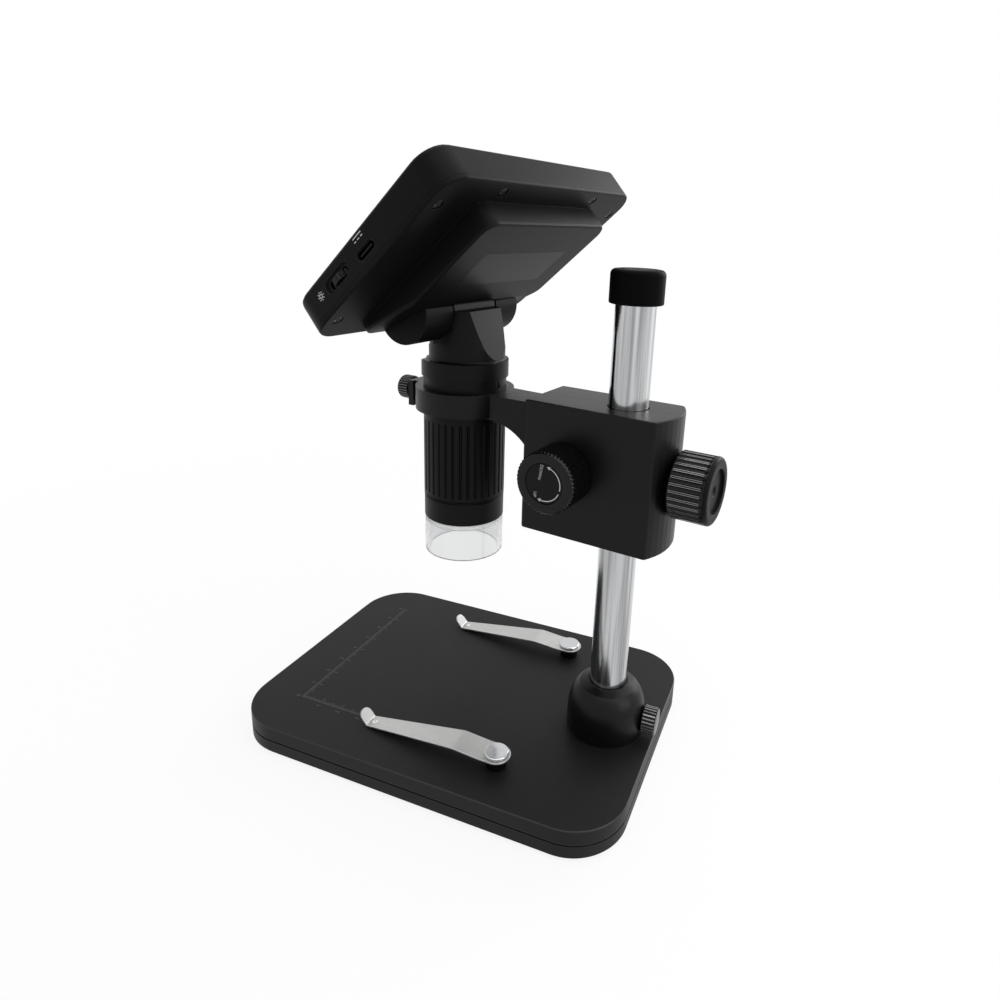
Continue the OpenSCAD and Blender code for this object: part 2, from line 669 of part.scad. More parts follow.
// ---- arm, with the slider in the block and the ring round the barrel
module arm() color("#232325") on_carriage() difference() {
    union() {
        intersection() {
            side_extrude(60) polygon(concat(
                [[slider_front_y + 1, arm_top], [-reach, arm_top], [-reach, arm_top - arm_t]],
                arc(-reach + 17, arch_z, arch_r, 90, asin((slider_bottom - arch_z) / arch_r), 12),
                [[slider_front_y + 1, slider_bottom]]
            ));
            linear_extrude(block_h) polygon([
                [-arm_ring_w / 2, -reach], [arm_ring_w / 2, -reach], [arm_w / 2, -block_front - 0.2],
                [arm_w / 2, slider_front_y + 1], [-arm_w / 2, slider_front_y + 1],
                [-arm_w / 2, -block_front - 0.2]
            ]);
        }
        translate([-slider_half, slider_front_y, slider_bottom]) cube([2 * slider_half, slider_t, slider_h]);
        translate([0, -reach, arm_top - ring_h]) cylinder(r = ring_r, h = ring_h + 0.1);
        translate([-5.5, -reach - ring_r - lug_out, arm_top - ring_h - 2.2]) cube([11, 2.6, ring_h + 1.6]);
        translate([-4.5, -reach - ring_r - lug_out + 1, arm_top - ring_h]) cube([9, lug_out + 3, ring_h - 0.6]);
    }
    translate([0, -reach, 0]) cylinder(r = barrel_r + fit, h = block_h + 5);
    translate([0, -reach, arm_top + clamp_z]) along_front() cylinder(d = 4 + 2 * fit, h = 50);
}
module rack() color("#b09a58") on_carriage() {
    low = slider_bottom;
    first = ceil((low + 0.7 - shaft_up) / gear_pitch - 0.5);
    last = floor((low + slider_h - 0.7 - shaft_up) / gear_pitch - 0.5);
    tip = gear_pitch / 2 - tooth_play / 2 - 2 * 0.9 * gear_module * tan(20);
    foot = gear_pitch / 2 - tooth_play / 2 + 2 * 1.2 * gear_module * tan(20);
    side_extrude(gear_w) union() {
        translate([slider_back_y, low]) square([rack_root_y - slider_back_y, slider_h]);
        for (i = [first:last]) translate([0, shaft_up + (i + 0.5) * gear_pitch]) polygon([
            [rack_root_y - eps, -foot / 2], [rack_tip_y, -tip / 2], [rack_tip_y, tip / 2],
            [rack_root_y - eps, foot / 2]
        ]);
    }
}
module clamp_screw() color("#161618") on_carriage() translate([0, -reach, arm_top + clamp_z]) along_front() {
    head = ring_r + lug_out + 1.3;
    translate([0, 0, barrel_r + 0.1]) cylinder(d = 4, h = head - barrel_r);
    translate([0, 0, head - 1]) cylinder(d = 6, h = 1.2);
    translate([0, 0, head]) fluted(5.1, 5.6, 24, 0.4);
}

// ---- barrel
module barrel() color("#1d1d1f") on_scope() difference() {
    union() {
        translate([0, 0, grip_top + 0.1]) cylinder(r = barrel_r, h = collar_z - grip_top - 0.1);
        translate([0, 0, barrel_bottom]) cylinder(r = spigot_r, h = grip_top - barrel_bottom + 1);
    }
    translate([0, 0, barrel_bottom - 1]) cylinder(r = bore_r, h = collar_z - barrel_bottom + 2);
    translate([0, barrel_r - 0.7, 1.2]) translate([-0.4, 0, 0]) cube([0.8, 2, 2.4]);
}
module nose_ring() color("#19191b") on_scope() difference() {
    translate([0, 0, nose_bottom]) cylinder(r = barrel_r - 0.1, h = nose_h);
    translate([0, 0, barrel_bottom]) cylinder(r = spigot_r + 0.02, h = nose_h);
    translate([0, 0, nose_bottom - 1]) cylinder(r = recess_r, h = barrel_bottom - nose_bottom + 1);
}
module led_board() color("#e8e6da") on_scope() {
    translate([0, 0, barrel_bottom - 1.25]) tube(recess_r - 0.2, bore_r - 2.5, 1.2);
    for (i = [0:7]) rotate(i * 45) translate([bore_r + 1, 0, barrel_bottom - 2.15]) cylinder(r = 1.2, h = 0.9);
}
module focus_ring() color("#141416") on_scope() translate([0, 0, grip_bottom]) difference() {
    cylinder(r = barrel_r, h = grip_h);
    translate([0, 0, -1]) cylinder(r = spigot_r + fit, h = grip_h + 2);
    for (i = [0:grip_grooves - 1]) rotate(i * 360 / grip_grooves)
        translate([barrel_r - 0.7, -0.65, 2.4]) cube([2, 1.3, grip_h - 6]);
    translate([0, 0, 0.6]) tube(barrel_r + 1, barrel_r - 0.3, 0.4);
}
module lens_cell() color("#3a3a3c") on_scope() translate([0, 0, barrel_bottom + 9]) difference() {
    cylinder(r = bore_r - fit, h = 12);
    translate([0, 0, -1]) cylinder(r = 5.2, h = 14);
    translate([0, 0, -1]) cylinder(r = 6.7, h = 4);
}
module lens() color("#cfe4ea") on_scope() translate([0, 0, barrel_bottom + 9.4]) intersection() {
    cylinder(r = 6.68, h = 2.6);
    translate([0, 0, 14]) sphere(r = 14.3);
}
module clear_cap() color("#e4e6e8", 0.5) on_scope() difference() {
    union() {
        translate([0, 0, clear_top - clear_h]) cylinder(r = clear_r, h = clear_h);
        translate([0, 0, clear_top - 1]) cylinder(r = recess_r - fit, h = 2.2);
    }
    translate([0, 0, clear_top - clear_h - 1]) cylinder(r = clear_r - clear_wall, h = clear_h + 4);
}

// ---- neck
// The hinge side of the neck's outline: from its rear edge, round the eye, to the front scoop
function neck_flat_y(z) = neck_shift + neck_r - neck_slope * (z - neck_flat_up);
edge_z = hinge_rise + 0.7;
knuckle_r = slot_to - hinge_up - 0.5;
neck_top = concat(
    arc(-hinge_front, hinge_rise, knuckle_r, 4, 34, 5),
    arc(-hinge_front, hinge_rise, eye_r - 0.5, 50, 80, 1)
);
scoop_y = -hinge_front - hinge_out + swing_gap;
neck_scoop = arc(-hinge_front, hinge_rise, edge_swing_r, -124,
    -90 - asin((hinge_out - swing_gap) / edge_swing_r), 6);
neck_sunk = collar_fall + 0.5;
module neck_form() rotate_extrude() polygon(concat(
    [[0, -neck_sunk], [neck_r + neck_foot, -neck_sunk]],
    [for (a = [0:18:90]) [neck_r + neck_foot * (1 - sin(a)), neck_foot * (1 - cos(a))]],
    [[neck_r, neck_straight], [neck_top_r, hinge_rise], [neck_top_r, hinge_rise + 30], [0, hinge_rise + 30]]
));
module neck() color("#1d1d1f") on_scope() difference() {
    union() {
        difference() {
            translate([0, 0, collar_z + 0.05]) cylinder(r = collar_d / 2, h = collar_h - 0.05);
            translate([0, -collar_d / 4, collar_top]) rotate([atan(4 * collar_fall / collar_d), 0, 0])
                translate([-30, -30, 0]) cube([60, 30, 10]);
        }
        translate([0, 0, collar_top]) intersection() {
            translate([0, neck_shift, 0]) neck_form();
            side_extrude(60) polygon(concat(
                [[-20, -neck_sunk], [neck_flat_y(-neck_sunk), -neck_sunk], [neck_flat_y(edge_z), edge_z]],
                neck_top,
                [[scoop_y, hinge_rise]],
                [for (i = [len(neck_scoop) - 1:-1:0]) neck_scoop[i]],
                [[-20, neck_scoop[0][1]]]
            ));
        }
        translate([-cheek, -hinge_front, hinge_z]) along_x() cylinder(r = eye_r, h = 2 * cheek);
    }
    for (s = [-1, 1]) translate([s * (cheek + 5), -hinge_front, hinge_z]) along_x()
        translate([0, 0, -5]) cylinder(r = lobe_pocket_r, h = 10);
    translate([-30, -hinge_front, hinge_z]) along_x() cylinder(d = hinge_pin_d + 2 * fit, h = 60);
    // room for the sensor, the wires and the button
    translate([0, 0, collar_z - 1]) cylinder(r = 9, h = 6);
    translate([0, button_back_y + button_travel + 0.3, collar_z + button_up]) along_front()
        cylinder(d = button_d + 2 * fit, h = 12);
    translate([-6, -collar_d / 2 - 5, collar_z - 1]) cube([12, 5.4, collar_h + 2]);
}
module snap_button() color("#2a2a2c") on_scope() translate([0, button_back_y, collar_z + button_up])
    along_front() cylinder(d = button_d, h = collar_d / 2 + button_out + button_back_y);
module sensor_board() color("#1f5a34") on_scope() translate([0, 0, collar_z + 0.3]) {
    translate([-6.2, -6.2, 0]) cube([12.4, 12.4, 1.2]);
    translate([-3.5, -3.5, 1.2]) cube([7, 7, 0.8]);
}

// ---- head
module corner_posts(w, low, high, z, h, r) {
    for (x = [-1, 1], y = [low + r, high - r])
        translate([x * (w / 2 - r), y, z]) cylinder(r = r, h = h, $fn = 32);
}
module bulge(wall) {
    low = head_low + bulge_from + wall;
    high = head_low + bulge_to - wall;
    slope = head_low + bulge_slope_to;
    w = bulge_w - 2 * wall;
    r = bulge_corner - wall;
    back = plate_z - bulge_t + wall;
    hull() {
        corner_posts(w, low, high, plate_z - bulge_lip + wall, bulge_lip + plate_t - 0.4 - wall, r);
        if (wall == 0) {
            corner_posts(w, slope - 2, high, back + 1.2, 1, r);
            corner_posts(w - 0.8, slope - 1, high - 0.4, back + 0.4, 1, r - 0.4);
            corner_posts(w - 2.4, slope, high - 1.2, back, 1, r - 1.2);
        } else corner_posts(w, slope, high, back, 1, r);
    }
}
module head_holes() {
    for (p = screw_spots) translate([p[0], head_low + p[1], plate_z - 1]) {
        cylinder(d = 2.2, h = 5);
        cylinder(d = 4.2, h = 1.9);
    }
}
module rear_cover() color("#242426") on_head() difference() {
    union() {
        difference() {
            union() {
                translate([0, head_mid, plate_z])
                    soft_plate(head_w, head_l, plate_t, head_corner, 0.8, 0);
                bulge(0);
            }
            difference() {
                bulge(plate_t);
                translate([-slot_half - plate_t, head_low, -20])
                    cube([2 * slot_half + 2 * plate_t, slot_to + plate_t, 40]);
            }
        }
        intersection() {
            for (s = [-1, 1]) translate([s > 0 ? slot_half : -lobe_out, 0, 0]) along_x()
                cylinder(r = lobe_r, h = lobe_out - slot_half);
            translate([-60, -30, -20]) cube([120, 60, 20 + frame_z]);
        }
        intersection() {
            translate([-slot_half - plate_t, 0, 0]) along_x()
                cylinder(r = pocket_r + 1.2, h = 2 * slot_half + 2 * plate_t);
            translate([-60, -30, plate_z]) cube([120, 60, 20]);
        }
    }
    // slot for the neck, with a round pocket over its hinge eye
    translate([-slot_half, head_low - 5, -20]) cube([2 * slot_half, slot_to + 5, 20 + plate_z]);
    translate([-slot_half, 0, 0]) along_x() cylinder(r = pocket_r, h = 2 * slot_half);
    translate([-lobe_out - 1, 0, 0]) along_x() cylinder(d = hinge_pin_d + 0.04, h = 2 * lobe_out - 1.5);
    head_holes();
}
module front_frame() color("#1f1f21") on_head() difference() {
    union() {
        difference() {
            translate([0, head_mid, frame_z + 0.05])
                soft_plate(head_w, head_l, head_t - plate_t - 0.05, head_corner, 0.3, 1.6);
            translate([0, head_mid, frame_z - 1]) linear_extrude(wall_z - frame_z + 1)
                rounded_rect(head_w - 2 * frame_wall, head_l - 2 * frame_wall, head_corner - frame_wall);
        }
        for (p = screw_spots) intersection() {
            boss_h = p[1] > 75 || p[1] < 20 && abs(p[0]) < 50 ? wall_z - lcd_t - 0.4 : wall_z + 0.5;
            translate([p[0], head_low + p[1], frame_z + 0.05]) cylinder(r = 2.7, h = boss_h - frame_z);
            translate([0, head_mid, 0]) linear_extrude(40)
                rounded_rect(head_w - 2, head_l - 2, head_corner - 1);
        }
        for (x = [-31, 31]) translate([x - 1.5, head_low + 78, frame_z + 0.05])
            cube([3, head_l - 78 - 1, wall_z - lcd_t - 0.4 - frame_z]);
    }
    // window with a seat for the glass
    translate([0, glass_y, face_z - glass_t - 0.1]) linear_extrude(5) rounded_rect(glass_w + gap, glass_l + gap, 2.1);
    translate([0, glass_y, wall_z - 1]) linear_extrude(5)
        rounded_rect(glass_w - 2 * glass_rim, glass_l - 2 * glass_rim, 1);
    for (i = [-2:2]) translate([i * key_pitch, key_y, wall_z - 1]) cylinder(d = key_d + 0.2, h = 5);
    for (p = screw_spots) translate([p[0], head_low + p[1], frame_z - 1]) cylinder(d = 1.9, h = 7.5);
    // ports: power on the right, card on the left, the dimmer's wheel below the power port
    translate([head_w / 2 - 4, head_low + port_up, port_z]) along_x() linear_extrude(6) rounded_rect(3.5, 9.3, 1.7);
    translate([-head_w / 2 - 2, head_low + port_up - 6.2, port_z - 0.9]) cube([5, 12.4, 1.8]);
    translate([head_w / 2 - 4, head_low + dimmer_up, dimmer_z]) along_x() linear_extrude(6)
        rounded_rect(dimmer_t + 0.6, 2 * dimmer_r - 0.6, 1.4);
    translate([head_w / 2 - 0.8, head_low + dimmer_up, dimmer_z]) along_x() linear_extrude(3)
        rounded_rect(5, 14, 2.4);
}
module head_screws() color("#6a6b70") on_head() for (p = screw_spots)
    translate([p[0], head_low + p[1], plate_z + 0.15]) {
        cylinder(d = 3.8, h = 0.7);
        cylinder(d = 1.85, h = 6.6);
    }
module hinge_pin() color("silver") on_head() translate([-lobe_out + 0.5, 0, 0]) along_x()
    cylinder(d = hinge_pin_d, h = 2 * lobe_out - 3.2);
module screen_glass() color("#0b0b0e") on_head() translate([0, glass_y, face_z - glass_t - 0.05])
    linear_extrude(glass_t) rounded_rect(glass_w, glass_l, 2);
module lcd_panel() color("#4a4c50") on_head() translate([-lcd_w / 2, lcd_y - lcd_l / 2, wall_z - 0.05 - lcd_t])
    cube([lcd_w, lcd_l, lcd_t]);
module main_board() color("#1f5a34") on_head() translate([0, head_low, board_z]) {
    difference() {
        translate([head_w / 2 - 2.85 - board_w, 18, 0]) cube([board_w, board_l, board_t]);
        translate([-19, 15, -1]) cube([38, 13, 4]);
        for (p = screw_spots) translate([p[0], p[1], -1]) cylinder(r = 3, h = 4);
    }
    translate([-18, 36, board_t]) cube([12, 12, 1]);
    translate([10, 38, board_t]) cube([9, 9, 1]);
    translate([-40, 44, board_t]) cube([8, 6, 1.2]);
}
module battery() color("#a9adb3") on_head()
    translate([-cell_w / 2, head_low + bulge_to - 4.5 - cell_l, plate_z - bulge_t + plate_t + 0.2])
    cube([cell_w, cell_l, cell_t]);
module key_board() color("#1f5a34") on_head() translate([0, key_y, wall_z - key_flange_t - key_travel - 0.85]) {
    translate([-2 * key_pitch - 6, 3.4 - key_board_l, -1]) cube([4 * key_pitch + 12, key_board_l, 1]);
    for (i = [-2:2]) translate([i * key_pitch, 0, -eps]) cylinder(d = 3, h = 0.5);
}
module usb_socket() color("silver") on_head() translate([head_w / 2 - 7.4, head_low + port_up, port_z]) along_x() difference() {
    linear_extrude(7) rounded_rect(3.2, 9, 1.55);
    translate([0, 0, 0.8]) linear_extrude(8) difference() {
        rounded_rect(2.6, 8.4, 1.25);
        square([0.7, 6.6], center = true);
    }
}
module card_socket() color("silver") on_head()
    translate([-head_w / 2 + frame_wall + 0.2, head_low + port_up - 7, board_z + board_t]) difference() {
        cube([14, 14, 1.9]);
        translate([-1, 1, 0.5]) cube([13, 12, 0.9]);
    }
module dimmer_base() color("#2a2a2c") on_head()
    translate([dimmer_x, head_low + dimmer_up, board_z + board_t]) {
        translate([-3, -4, 0]) cube([5, 8, dimmer_z - dimmer_t / 2 - board_z - board_t - 0.1]);
        cylinder(d = 2, h = dimmer_z + dimmer_t / 2 - board_z - board_t);
    }
module dimmer_wheel() color("#1b1b1d") on_head()
    translate([dimmer_x, head_low + dimmer_up, dimmer_z - dimmer_t / 2]) difference() {
        fluted(dimmer_r, dimmer_t, 26, 0.35);
        translate([0, 0, -1]) cylinder(d = 2 + 2 * fit, h = dimmer_t + 2);
    }
module key(i) color("#2b2b2e") on_head() translate([i * key_pitch, key_y, 0]) {
    translate([0, 0, wall_z - key_flange_t - 0.05]) cylinder(d = key_d + 1.6, h = key_flange_t);
    translate([0, 0, wall_z - 0.3]) cylinder(d = key_d, h = frame_wall + 0.3 + 0.8);
}
module key_power() key(-2);
module key_left() key(-1);
module key_ok() key(0);
module key_right() key(1);
module key_menu() key(2);

base_cover();
base_tray();
ballast_plate();
base_feet();
base_screws();
socket_fixings();
column_socket();
column();
end_cap();
clip_rivets();
clip_spacers();
set_screw();
clip_left();
clip_right();
column_sleeve();
block_right();
block_left();
block_screws();
lock_nut();
lock_knob();
focus_shaft();
pinion();
focus_knob();
focus_knob_disc();
arm();
rack();
clamp_screw();
barrel();
nose_ring();
led_board();
neck();
sensor_board();
focus_ring();
lens_cell();
lens();
clear_cap();
snap_button();
rear_cover();
front_frame();
head_screws();
hinge_pin();
screen_glass();
lcd_panel();
main_board();
battery();
key_board();
usb_socket();
card_socket();
dimmer_base();
dimmer_wheel();
key_power();
key_left();
key_ok();
key_right();
key_menu();
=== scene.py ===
import json
import bmesh
import bpy
import numpy as np
from mathutils import Matrix, Vector

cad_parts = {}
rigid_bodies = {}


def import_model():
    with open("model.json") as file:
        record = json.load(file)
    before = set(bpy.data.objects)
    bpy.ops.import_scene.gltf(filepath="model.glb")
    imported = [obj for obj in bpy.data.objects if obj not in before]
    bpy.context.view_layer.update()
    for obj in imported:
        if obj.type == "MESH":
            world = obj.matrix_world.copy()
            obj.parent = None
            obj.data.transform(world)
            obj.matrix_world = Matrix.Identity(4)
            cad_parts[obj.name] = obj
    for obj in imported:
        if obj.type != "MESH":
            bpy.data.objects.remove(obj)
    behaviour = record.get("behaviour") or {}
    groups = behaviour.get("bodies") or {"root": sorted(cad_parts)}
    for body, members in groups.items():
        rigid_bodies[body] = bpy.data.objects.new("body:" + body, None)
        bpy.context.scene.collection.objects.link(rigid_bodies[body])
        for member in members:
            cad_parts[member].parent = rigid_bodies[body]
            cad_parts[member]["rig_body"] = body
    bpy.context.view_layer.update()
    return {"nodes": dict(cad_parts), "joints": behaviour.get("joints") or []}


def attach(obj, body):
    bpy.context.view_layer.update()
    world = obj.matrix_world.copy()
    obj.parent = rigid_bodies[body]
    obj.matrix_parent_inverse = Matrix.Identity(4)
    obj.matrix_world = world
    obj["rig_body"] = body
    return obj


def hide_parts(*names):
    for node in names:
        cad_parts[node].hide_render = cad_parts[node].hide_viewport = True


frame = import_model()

mm = 0.001
far = 1e6  # mm, beyond every piece
ink = 0.02  # mm that print stands above and below its surface
joints = {joint["name"]: joint for joint in frame["joints"]}


# Every piece is worked out in mm, in the frame of the part that carries it

def localFrame(origin, xAxis, zAxis):  # origin in metres; a frame is its origin in mm and its three axes as rows
    x, z = np.array(xAxis, float), np.array(zAxis, float)
    x, z = x / np.linalg.norm(x), z / np.linalg.norm(z)
    return np.array(origin, float) / mm, np.array([x, np.cross(z, x), z])


def toWorld(points, local):  # the origin plus each number times its axis, from mm to metres
    origin, axes = local
    return (origin + np.asarray(points, float) @ axes) * mm


def turnedFrame(local, offset, xAxis, zAxis):  # a frame inside another one, given in its mm and axes
    origin, axes = local
    return localFrame((origin + np.array(offset, float) @ axes) * mm,
                      np.array(xAxis, float) @ axes, np.array(zAxis, float) @ axes)


worldFrame = localFrame((0, 0, 0), (1, 0, 0), (0, 0, 1))
carriageFrame = localFrame(joints["column_swivel"]["pos_m"], joints["focus_knob_turn"]["axis"], (0, 0, 1))
scopeFrame = localFrame(joints["scope_turn"]["pos_m"], joints["screen_tilt"]["axis"], (0, 0, 1))
headFrame = localFrame(joints["screen_tilt"]["pos_m"], joints["screen_tilt"]["axis"], joints["dimmer_turn"]["axis"])


def nodePoints(node, local):  # the points of a node's mesh, in mm in a local frame
    mesh = frame["nodes"][node].data
    co = np.zeros(len(mesh.vertices) * 3, np.float32)
    mesh.vertices.foreach_get("co", co)
    origin, axes = local
    return (co.reshape(-1, 3).astype(float) / mm - origin) @ axes.T


def nodeBox(node, local=worldFrame):  # a node's lowest and highest corner in a local frame
    points = nodePoints(node, local)
    return points.min(0), points.max(0)


def solidBoxes(node, local):
    # the same for each separate solid of a node: corners that share a triangle take the
    # lowest of their numbers, over and over, until each solid has one number of its own
    points = nodePoints(node, local)
    _, corner = np.unique(np.round(points, 2), axis=0, return_inverse=True)
    mesh = frame["nodes"][node].data
    mesh.calc_loop_triangles()
    triangles = np.zeros(len(mesh.loop_triangles) * 3, np.int32)
    mesh.loop_triangles.foreach_get("vertices", triangles)
    triangles = corner.ravel()[triangles].reshape(-1, 3)
    number = np.arange(corner.max() + 1)
    while True:
        lower = number.copy()
        np.minimum.at(lower, triangles.ravel(), np.repeat(number[triangles].min(1), 3))
        if (lower == number).all():
            break
        number = lower
    owner = number[corner.ravel()]
    return [(points[owner == n].min(0), points[owner == n].max(0)) for n in np.unique(owner)]


# Lines, surfaces and pieces

def roundedLine(corners, steps=5):
    # a line through corners of (x, y) or (x, y, radius): a radius turns its corner into an arc about a centre
    # on the corner's bisector; only on a loop do the first and last corners have one
    radii = [corner[2] if len(corner) > 2 else 0 for corner in corners]
    corners = np.array([corner[:2] for corner in corners], float)
    line = []
    for i, (corner, radius) in enumerate(zip(corners, radii)):
        if radius == 0:
            line.append(corner[None])
            continue
        before, after = corners[i - 1] - corner, corners[(i + 1) % len(corners)] - corner
        before, after = before / np.linalg.norm(before), after / np.linalg.norm(after)
        half = np.arccos(np.clip(before @ after, -1, 1)) / 2
        centre = corner + (before + after) / np.linalg.norm(before + after) * radius / np.sin(half)
        start, end = (corner + way * radius / np.tan(half) - centre for way in (before, after))
        sweep, share = np.pi - 2 * half, np.linspace(0, 1, steps + 1)[:, None]
        line.append(centre + (np.sin((1 - share) * sweep) * start + np.sin(share * sweep) * end) / np.sin(sweep))
    return np.concatenate(line)


def rowSurface(rows, ring=False, capped=False):
    # quads between neighbouring rows of points, whose ends are joined; ring also joins the last row to the first
    # and capped gives both a flat face; a shape is its points, its quads and its larger faces
    rows = np.asarray(rows, float)
    count, width = rows.shape[:2]
    column = np.arange(width)
    row = np.arange(count if ring else count - 1)[:, None] * width
    nextRow = (row + width) % (count * width)
    nextColumn = (column + 1) % width
    quads = np.stack([row + column, row + nextColumn, nextRow + nextColumn, nextRow + column], -1).reshape(-1, 4)
    caps = [column[::-1], column + (count - 1) * width] if capped else []
    return rows.reshape(-1, 3), quads, caps


def lathe(profile, steps=96, grooves=None, ring=False):
    # a profile of (radius, height) turned about the axis: x = r cos a, y = r sin a, z = height;
    # grooves(a, height) gives the largest radius that they leave
    radius, height = np.array(profile, float).T[:, :, None]
    angle = np.arange(steps) * 2 * np.pi / steps
    if grooves:
        radius = np.minimum(radius, grooves(angle, height))
    points = np.broadcast_arrays(radius * np.cos(angle), radius * np.sin(angle), height)
    return rowSurface(np.stack(points, -1), ring=ring)


def roundGrooves(radius, count, halfWidth, depth, low, high):
    # straight grooves with a round section and round ends: each takes depth * sqrt(1 - d^2 / halfWidth^2),
    # where d is the distance from the groove's middle line
    def left(angle, height):
        pitch = 2 * np.pi / count
        across = radius * (np.mod(angle + pitch / 2, pitch) - pitch / 2)
        past = np.maximum(0, np.maximum(low + halfWidth - height, height - high + halfWidth))
        return radius - depth * np.sqrt(np.clip(1 - (across ** 2 + past ** 2) / halfWidth ** 2, 0, None))
    return left


def fluted(profile, radius, count, groove, low=-far, high=far, stepsEach=10, ring=False):
    # a turned profile with count grooves of (half width, depth) round it, between the heights low and high
    return lathe(profile, count * stepsEach, roundGrooves(radius, count, *groove, low, high), ring)


def plate(width, length, corner, edge, centre=(0, 0), steps=8):
    # a rounded rectangle carried up an edge profile of (inset, height): each row is the outline moved in by inset
    rows = []
    for inset, height in edge:
        x, y, r = width / 2 - inset, length / 2 - inset, max(corner - inset, 0.05)
        outline = roundedLine([(-x, -y, r), (x, -y, r), (x, y, r), (-x, y, r)], steps)
        rows.append(np.column_stack([outline + centre, np.full(len(outline), height)]))
    return rowSurface(rows, capped=True)


def printedArea(outline, z):  # a flat outline with the thickness of print, half above and half below z
    outline = np.asarray(outline, float)
    return rowSurface([np.column_stack([outline, np.full(len(outline), h)]) for h in (z - ink, z + ink)], capped=True)


def printedLine(line, width, z):  # a printed line of even width: its two sides lie half a width along the normals
    line = np.asarray(line, float)
    along = np.gradient(line, axis=0)
    side = np.column_stack([-along[:, 1], along[:, 0]]) / np.linalg.norm(along, axis=1)[:, None] * width / 2
    corners = ((1, z - ink), (-1, z - ink), (-1, z + ink), (1, z + ink))
    rows = [np.column_stack([line + sign * side, np.full(len(line), height)]) for sign, height in corners]
    return rowSurface(np.stack(rows, 1), capped=True)


def ray(degrees):  # the unit vector, or one row for each angle, of (cos a, sin a)
    return np.stack([np.cos(np.radians(degrees)), np.sin(np.radians(degrees))], -1)


def arcLine(radius, start, end, steps=24):  # radius times the unit vectors from start to end, in degrees
    return radius * ray(np.linspace(start, end, steps + 1))


def triangle(centre, size, turn):  # the corners of a triangle that points along turn, in degrees
    return size * ray(turn + np.array([0, 120, 240])) + centre


def moved(shape, offset):
    points, quads, caps = shape
    return points + np.array(offset, float), quads, caps


def turnFlat(shape, degrees):  # a flat shape turned about z
    points, quads, caps = shape
    c, s = ray(degrees)
    return points @ np.array([[c, s, 0], [-s, c, 0], [0, 0, 1]]), quads, caps


def textMesh(text, size, thinner=0):  # a flat text turned into points and faces, centred on its own box
    curve = bpy.data.curves.new("text", "FONT")
    curve.body, curve.size, curve.extrude, curve.offset = text, size, ink, -thinner * size
    curve.resolution_u = 5
    holder = bpy.data.objects.new("text", curve)
    bpy.context.scene.collection.objects.link(holder)
    bpy.context.view_layer.update()
    mesh = bpy.data.meshes.new_from_object(holder.evaluated_get(bpy.context.evaluated_depsgraph_get()))
    points = np.zeros(len(mesh.vertices) * 3)
    mesh.vertices.foreach_get("co", points)
    points = points.reshape(-1, 3)
    faces = [np.array(face.vertices) for face in mesh.polygons]
    bpy.data.objects.remove(holder)
    points[:, :2] -= (points[:, :2].min(0) + points[:, :2].max(0)) / 2
    return points, np.zeros((0, 4), int), faces


def mergeDoubles(mesh, metres, flatAngle=0):  # and joins faces that lie within flatAngle degrees of one plane
    work = bmesh.new()
    work.from_mesh(mesh)
    bmesh.ops.remove_doubles(work, verts=work.verts, dist=metres)
    if flatAngle:
        bmesh.ops.dissolve_limit(work, angle_limit=np.radians(flatAngle), verts=work.verts, edges=work.edges)
    work.to_mesh(mesh)
    work.free()


def finishMesh(name, mesh, looks, node, stands, sharp, edge=0, edgeAngle=0):
    # looks is one material, or several: edges rounded here take the last, which with several looks is the lighter edge
    # look, a painted highlight
    piece = bpy.data.objects.new(name, mesh)
    looks = [looks] if isinstance(looks, str) else looks
    mesh.materials.clear()
    for look in looks:
        mesh.materials.append(materials[look])
    mesh.polygons.foreach_set("use_smooth", np.ones(len(mesh.polygons), bool))
    mesh.set_sharp_from_angle(angle=np.radians(sharp))
    if edge > 0:
        bevel = piece.modifiers.new("edge", "BEVEL")
        bevel.width, bevel.segments = edge * mm, 2
        bevel.limit_method, bevel.angle_limit = "ANGLE", np.radians(edgeAngle)
        bevel.material = len(looks) - 1
    piece.modifiers.new("weights", "WEIGHTED_NORMAL").keep_sharp = True  # keeps flat walls flat beside rounded edges
    bpy.context.scene.collection.objects.link(piece)
    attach(piece, frame["nodes"][node]["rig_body"])
    if stands:
        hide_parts(node)


def signedVolume(points, faces):
    # the sum of a . (b x c) / 6 over the triangles fanned from each face's first corner: negative if inside out
    total = 0
    for corners in faces:
        for i in range(1, corners.shape[1] - 1):
            a, b, c = points[corners[:, 0]], points[corners[:, i]], points[corners[:, i + 1]]
            total += (a * np.cross(b, c)).sum() / 6
    return total


def addPiece(name, shapes, local, looks, node, stands=True, sharp=35, pick=None):
    # joins shapes into one mesh on the node's body; stands says whether it is shown in the node's place,
    # and pick(middles, normals) gives each face the number of its look
    points, faces, start = [], [], 0
    for shapePoints, quads, caps in shapes:
        way = 1 if signedVolume(shapePoints, [quads] + [cap[None] for cap in caps]) > 0 else -1
        points.append(shapePoints)
        faces += (quads[:, ::way] + start).tolist() + [(cap[::way] + start).tolist() for cap in caps]
        start += len(shapePoints)
    mesh = bpy.data.meshes.new(name)
    mesh.from_pydata(toWorld(np.concatenate(points), local).tolist(), [], faces)
    mergeDoubles(mesh, 1e-6)
    finishMesh(name, mesh, looks, node, stands, sharp)
    if pick:
        middles, normals = np.zeros(len(mesh.polygons) * 3), np.zeros(len(mesh.polygons) * 3)
        mesh.polygons.foreach_get("center", middles)
        mesh.polygons.foreach_get("normal", normals)
        origin, axes = local
        chosen = pick((middles.reshape(-1, 3) / mm - origin) @ axes.T, normals.reshape(-1, 3) @ axes.T)
        mesh.polygons.foreach_set("material_index", np.asarray(chosen, np.int32))


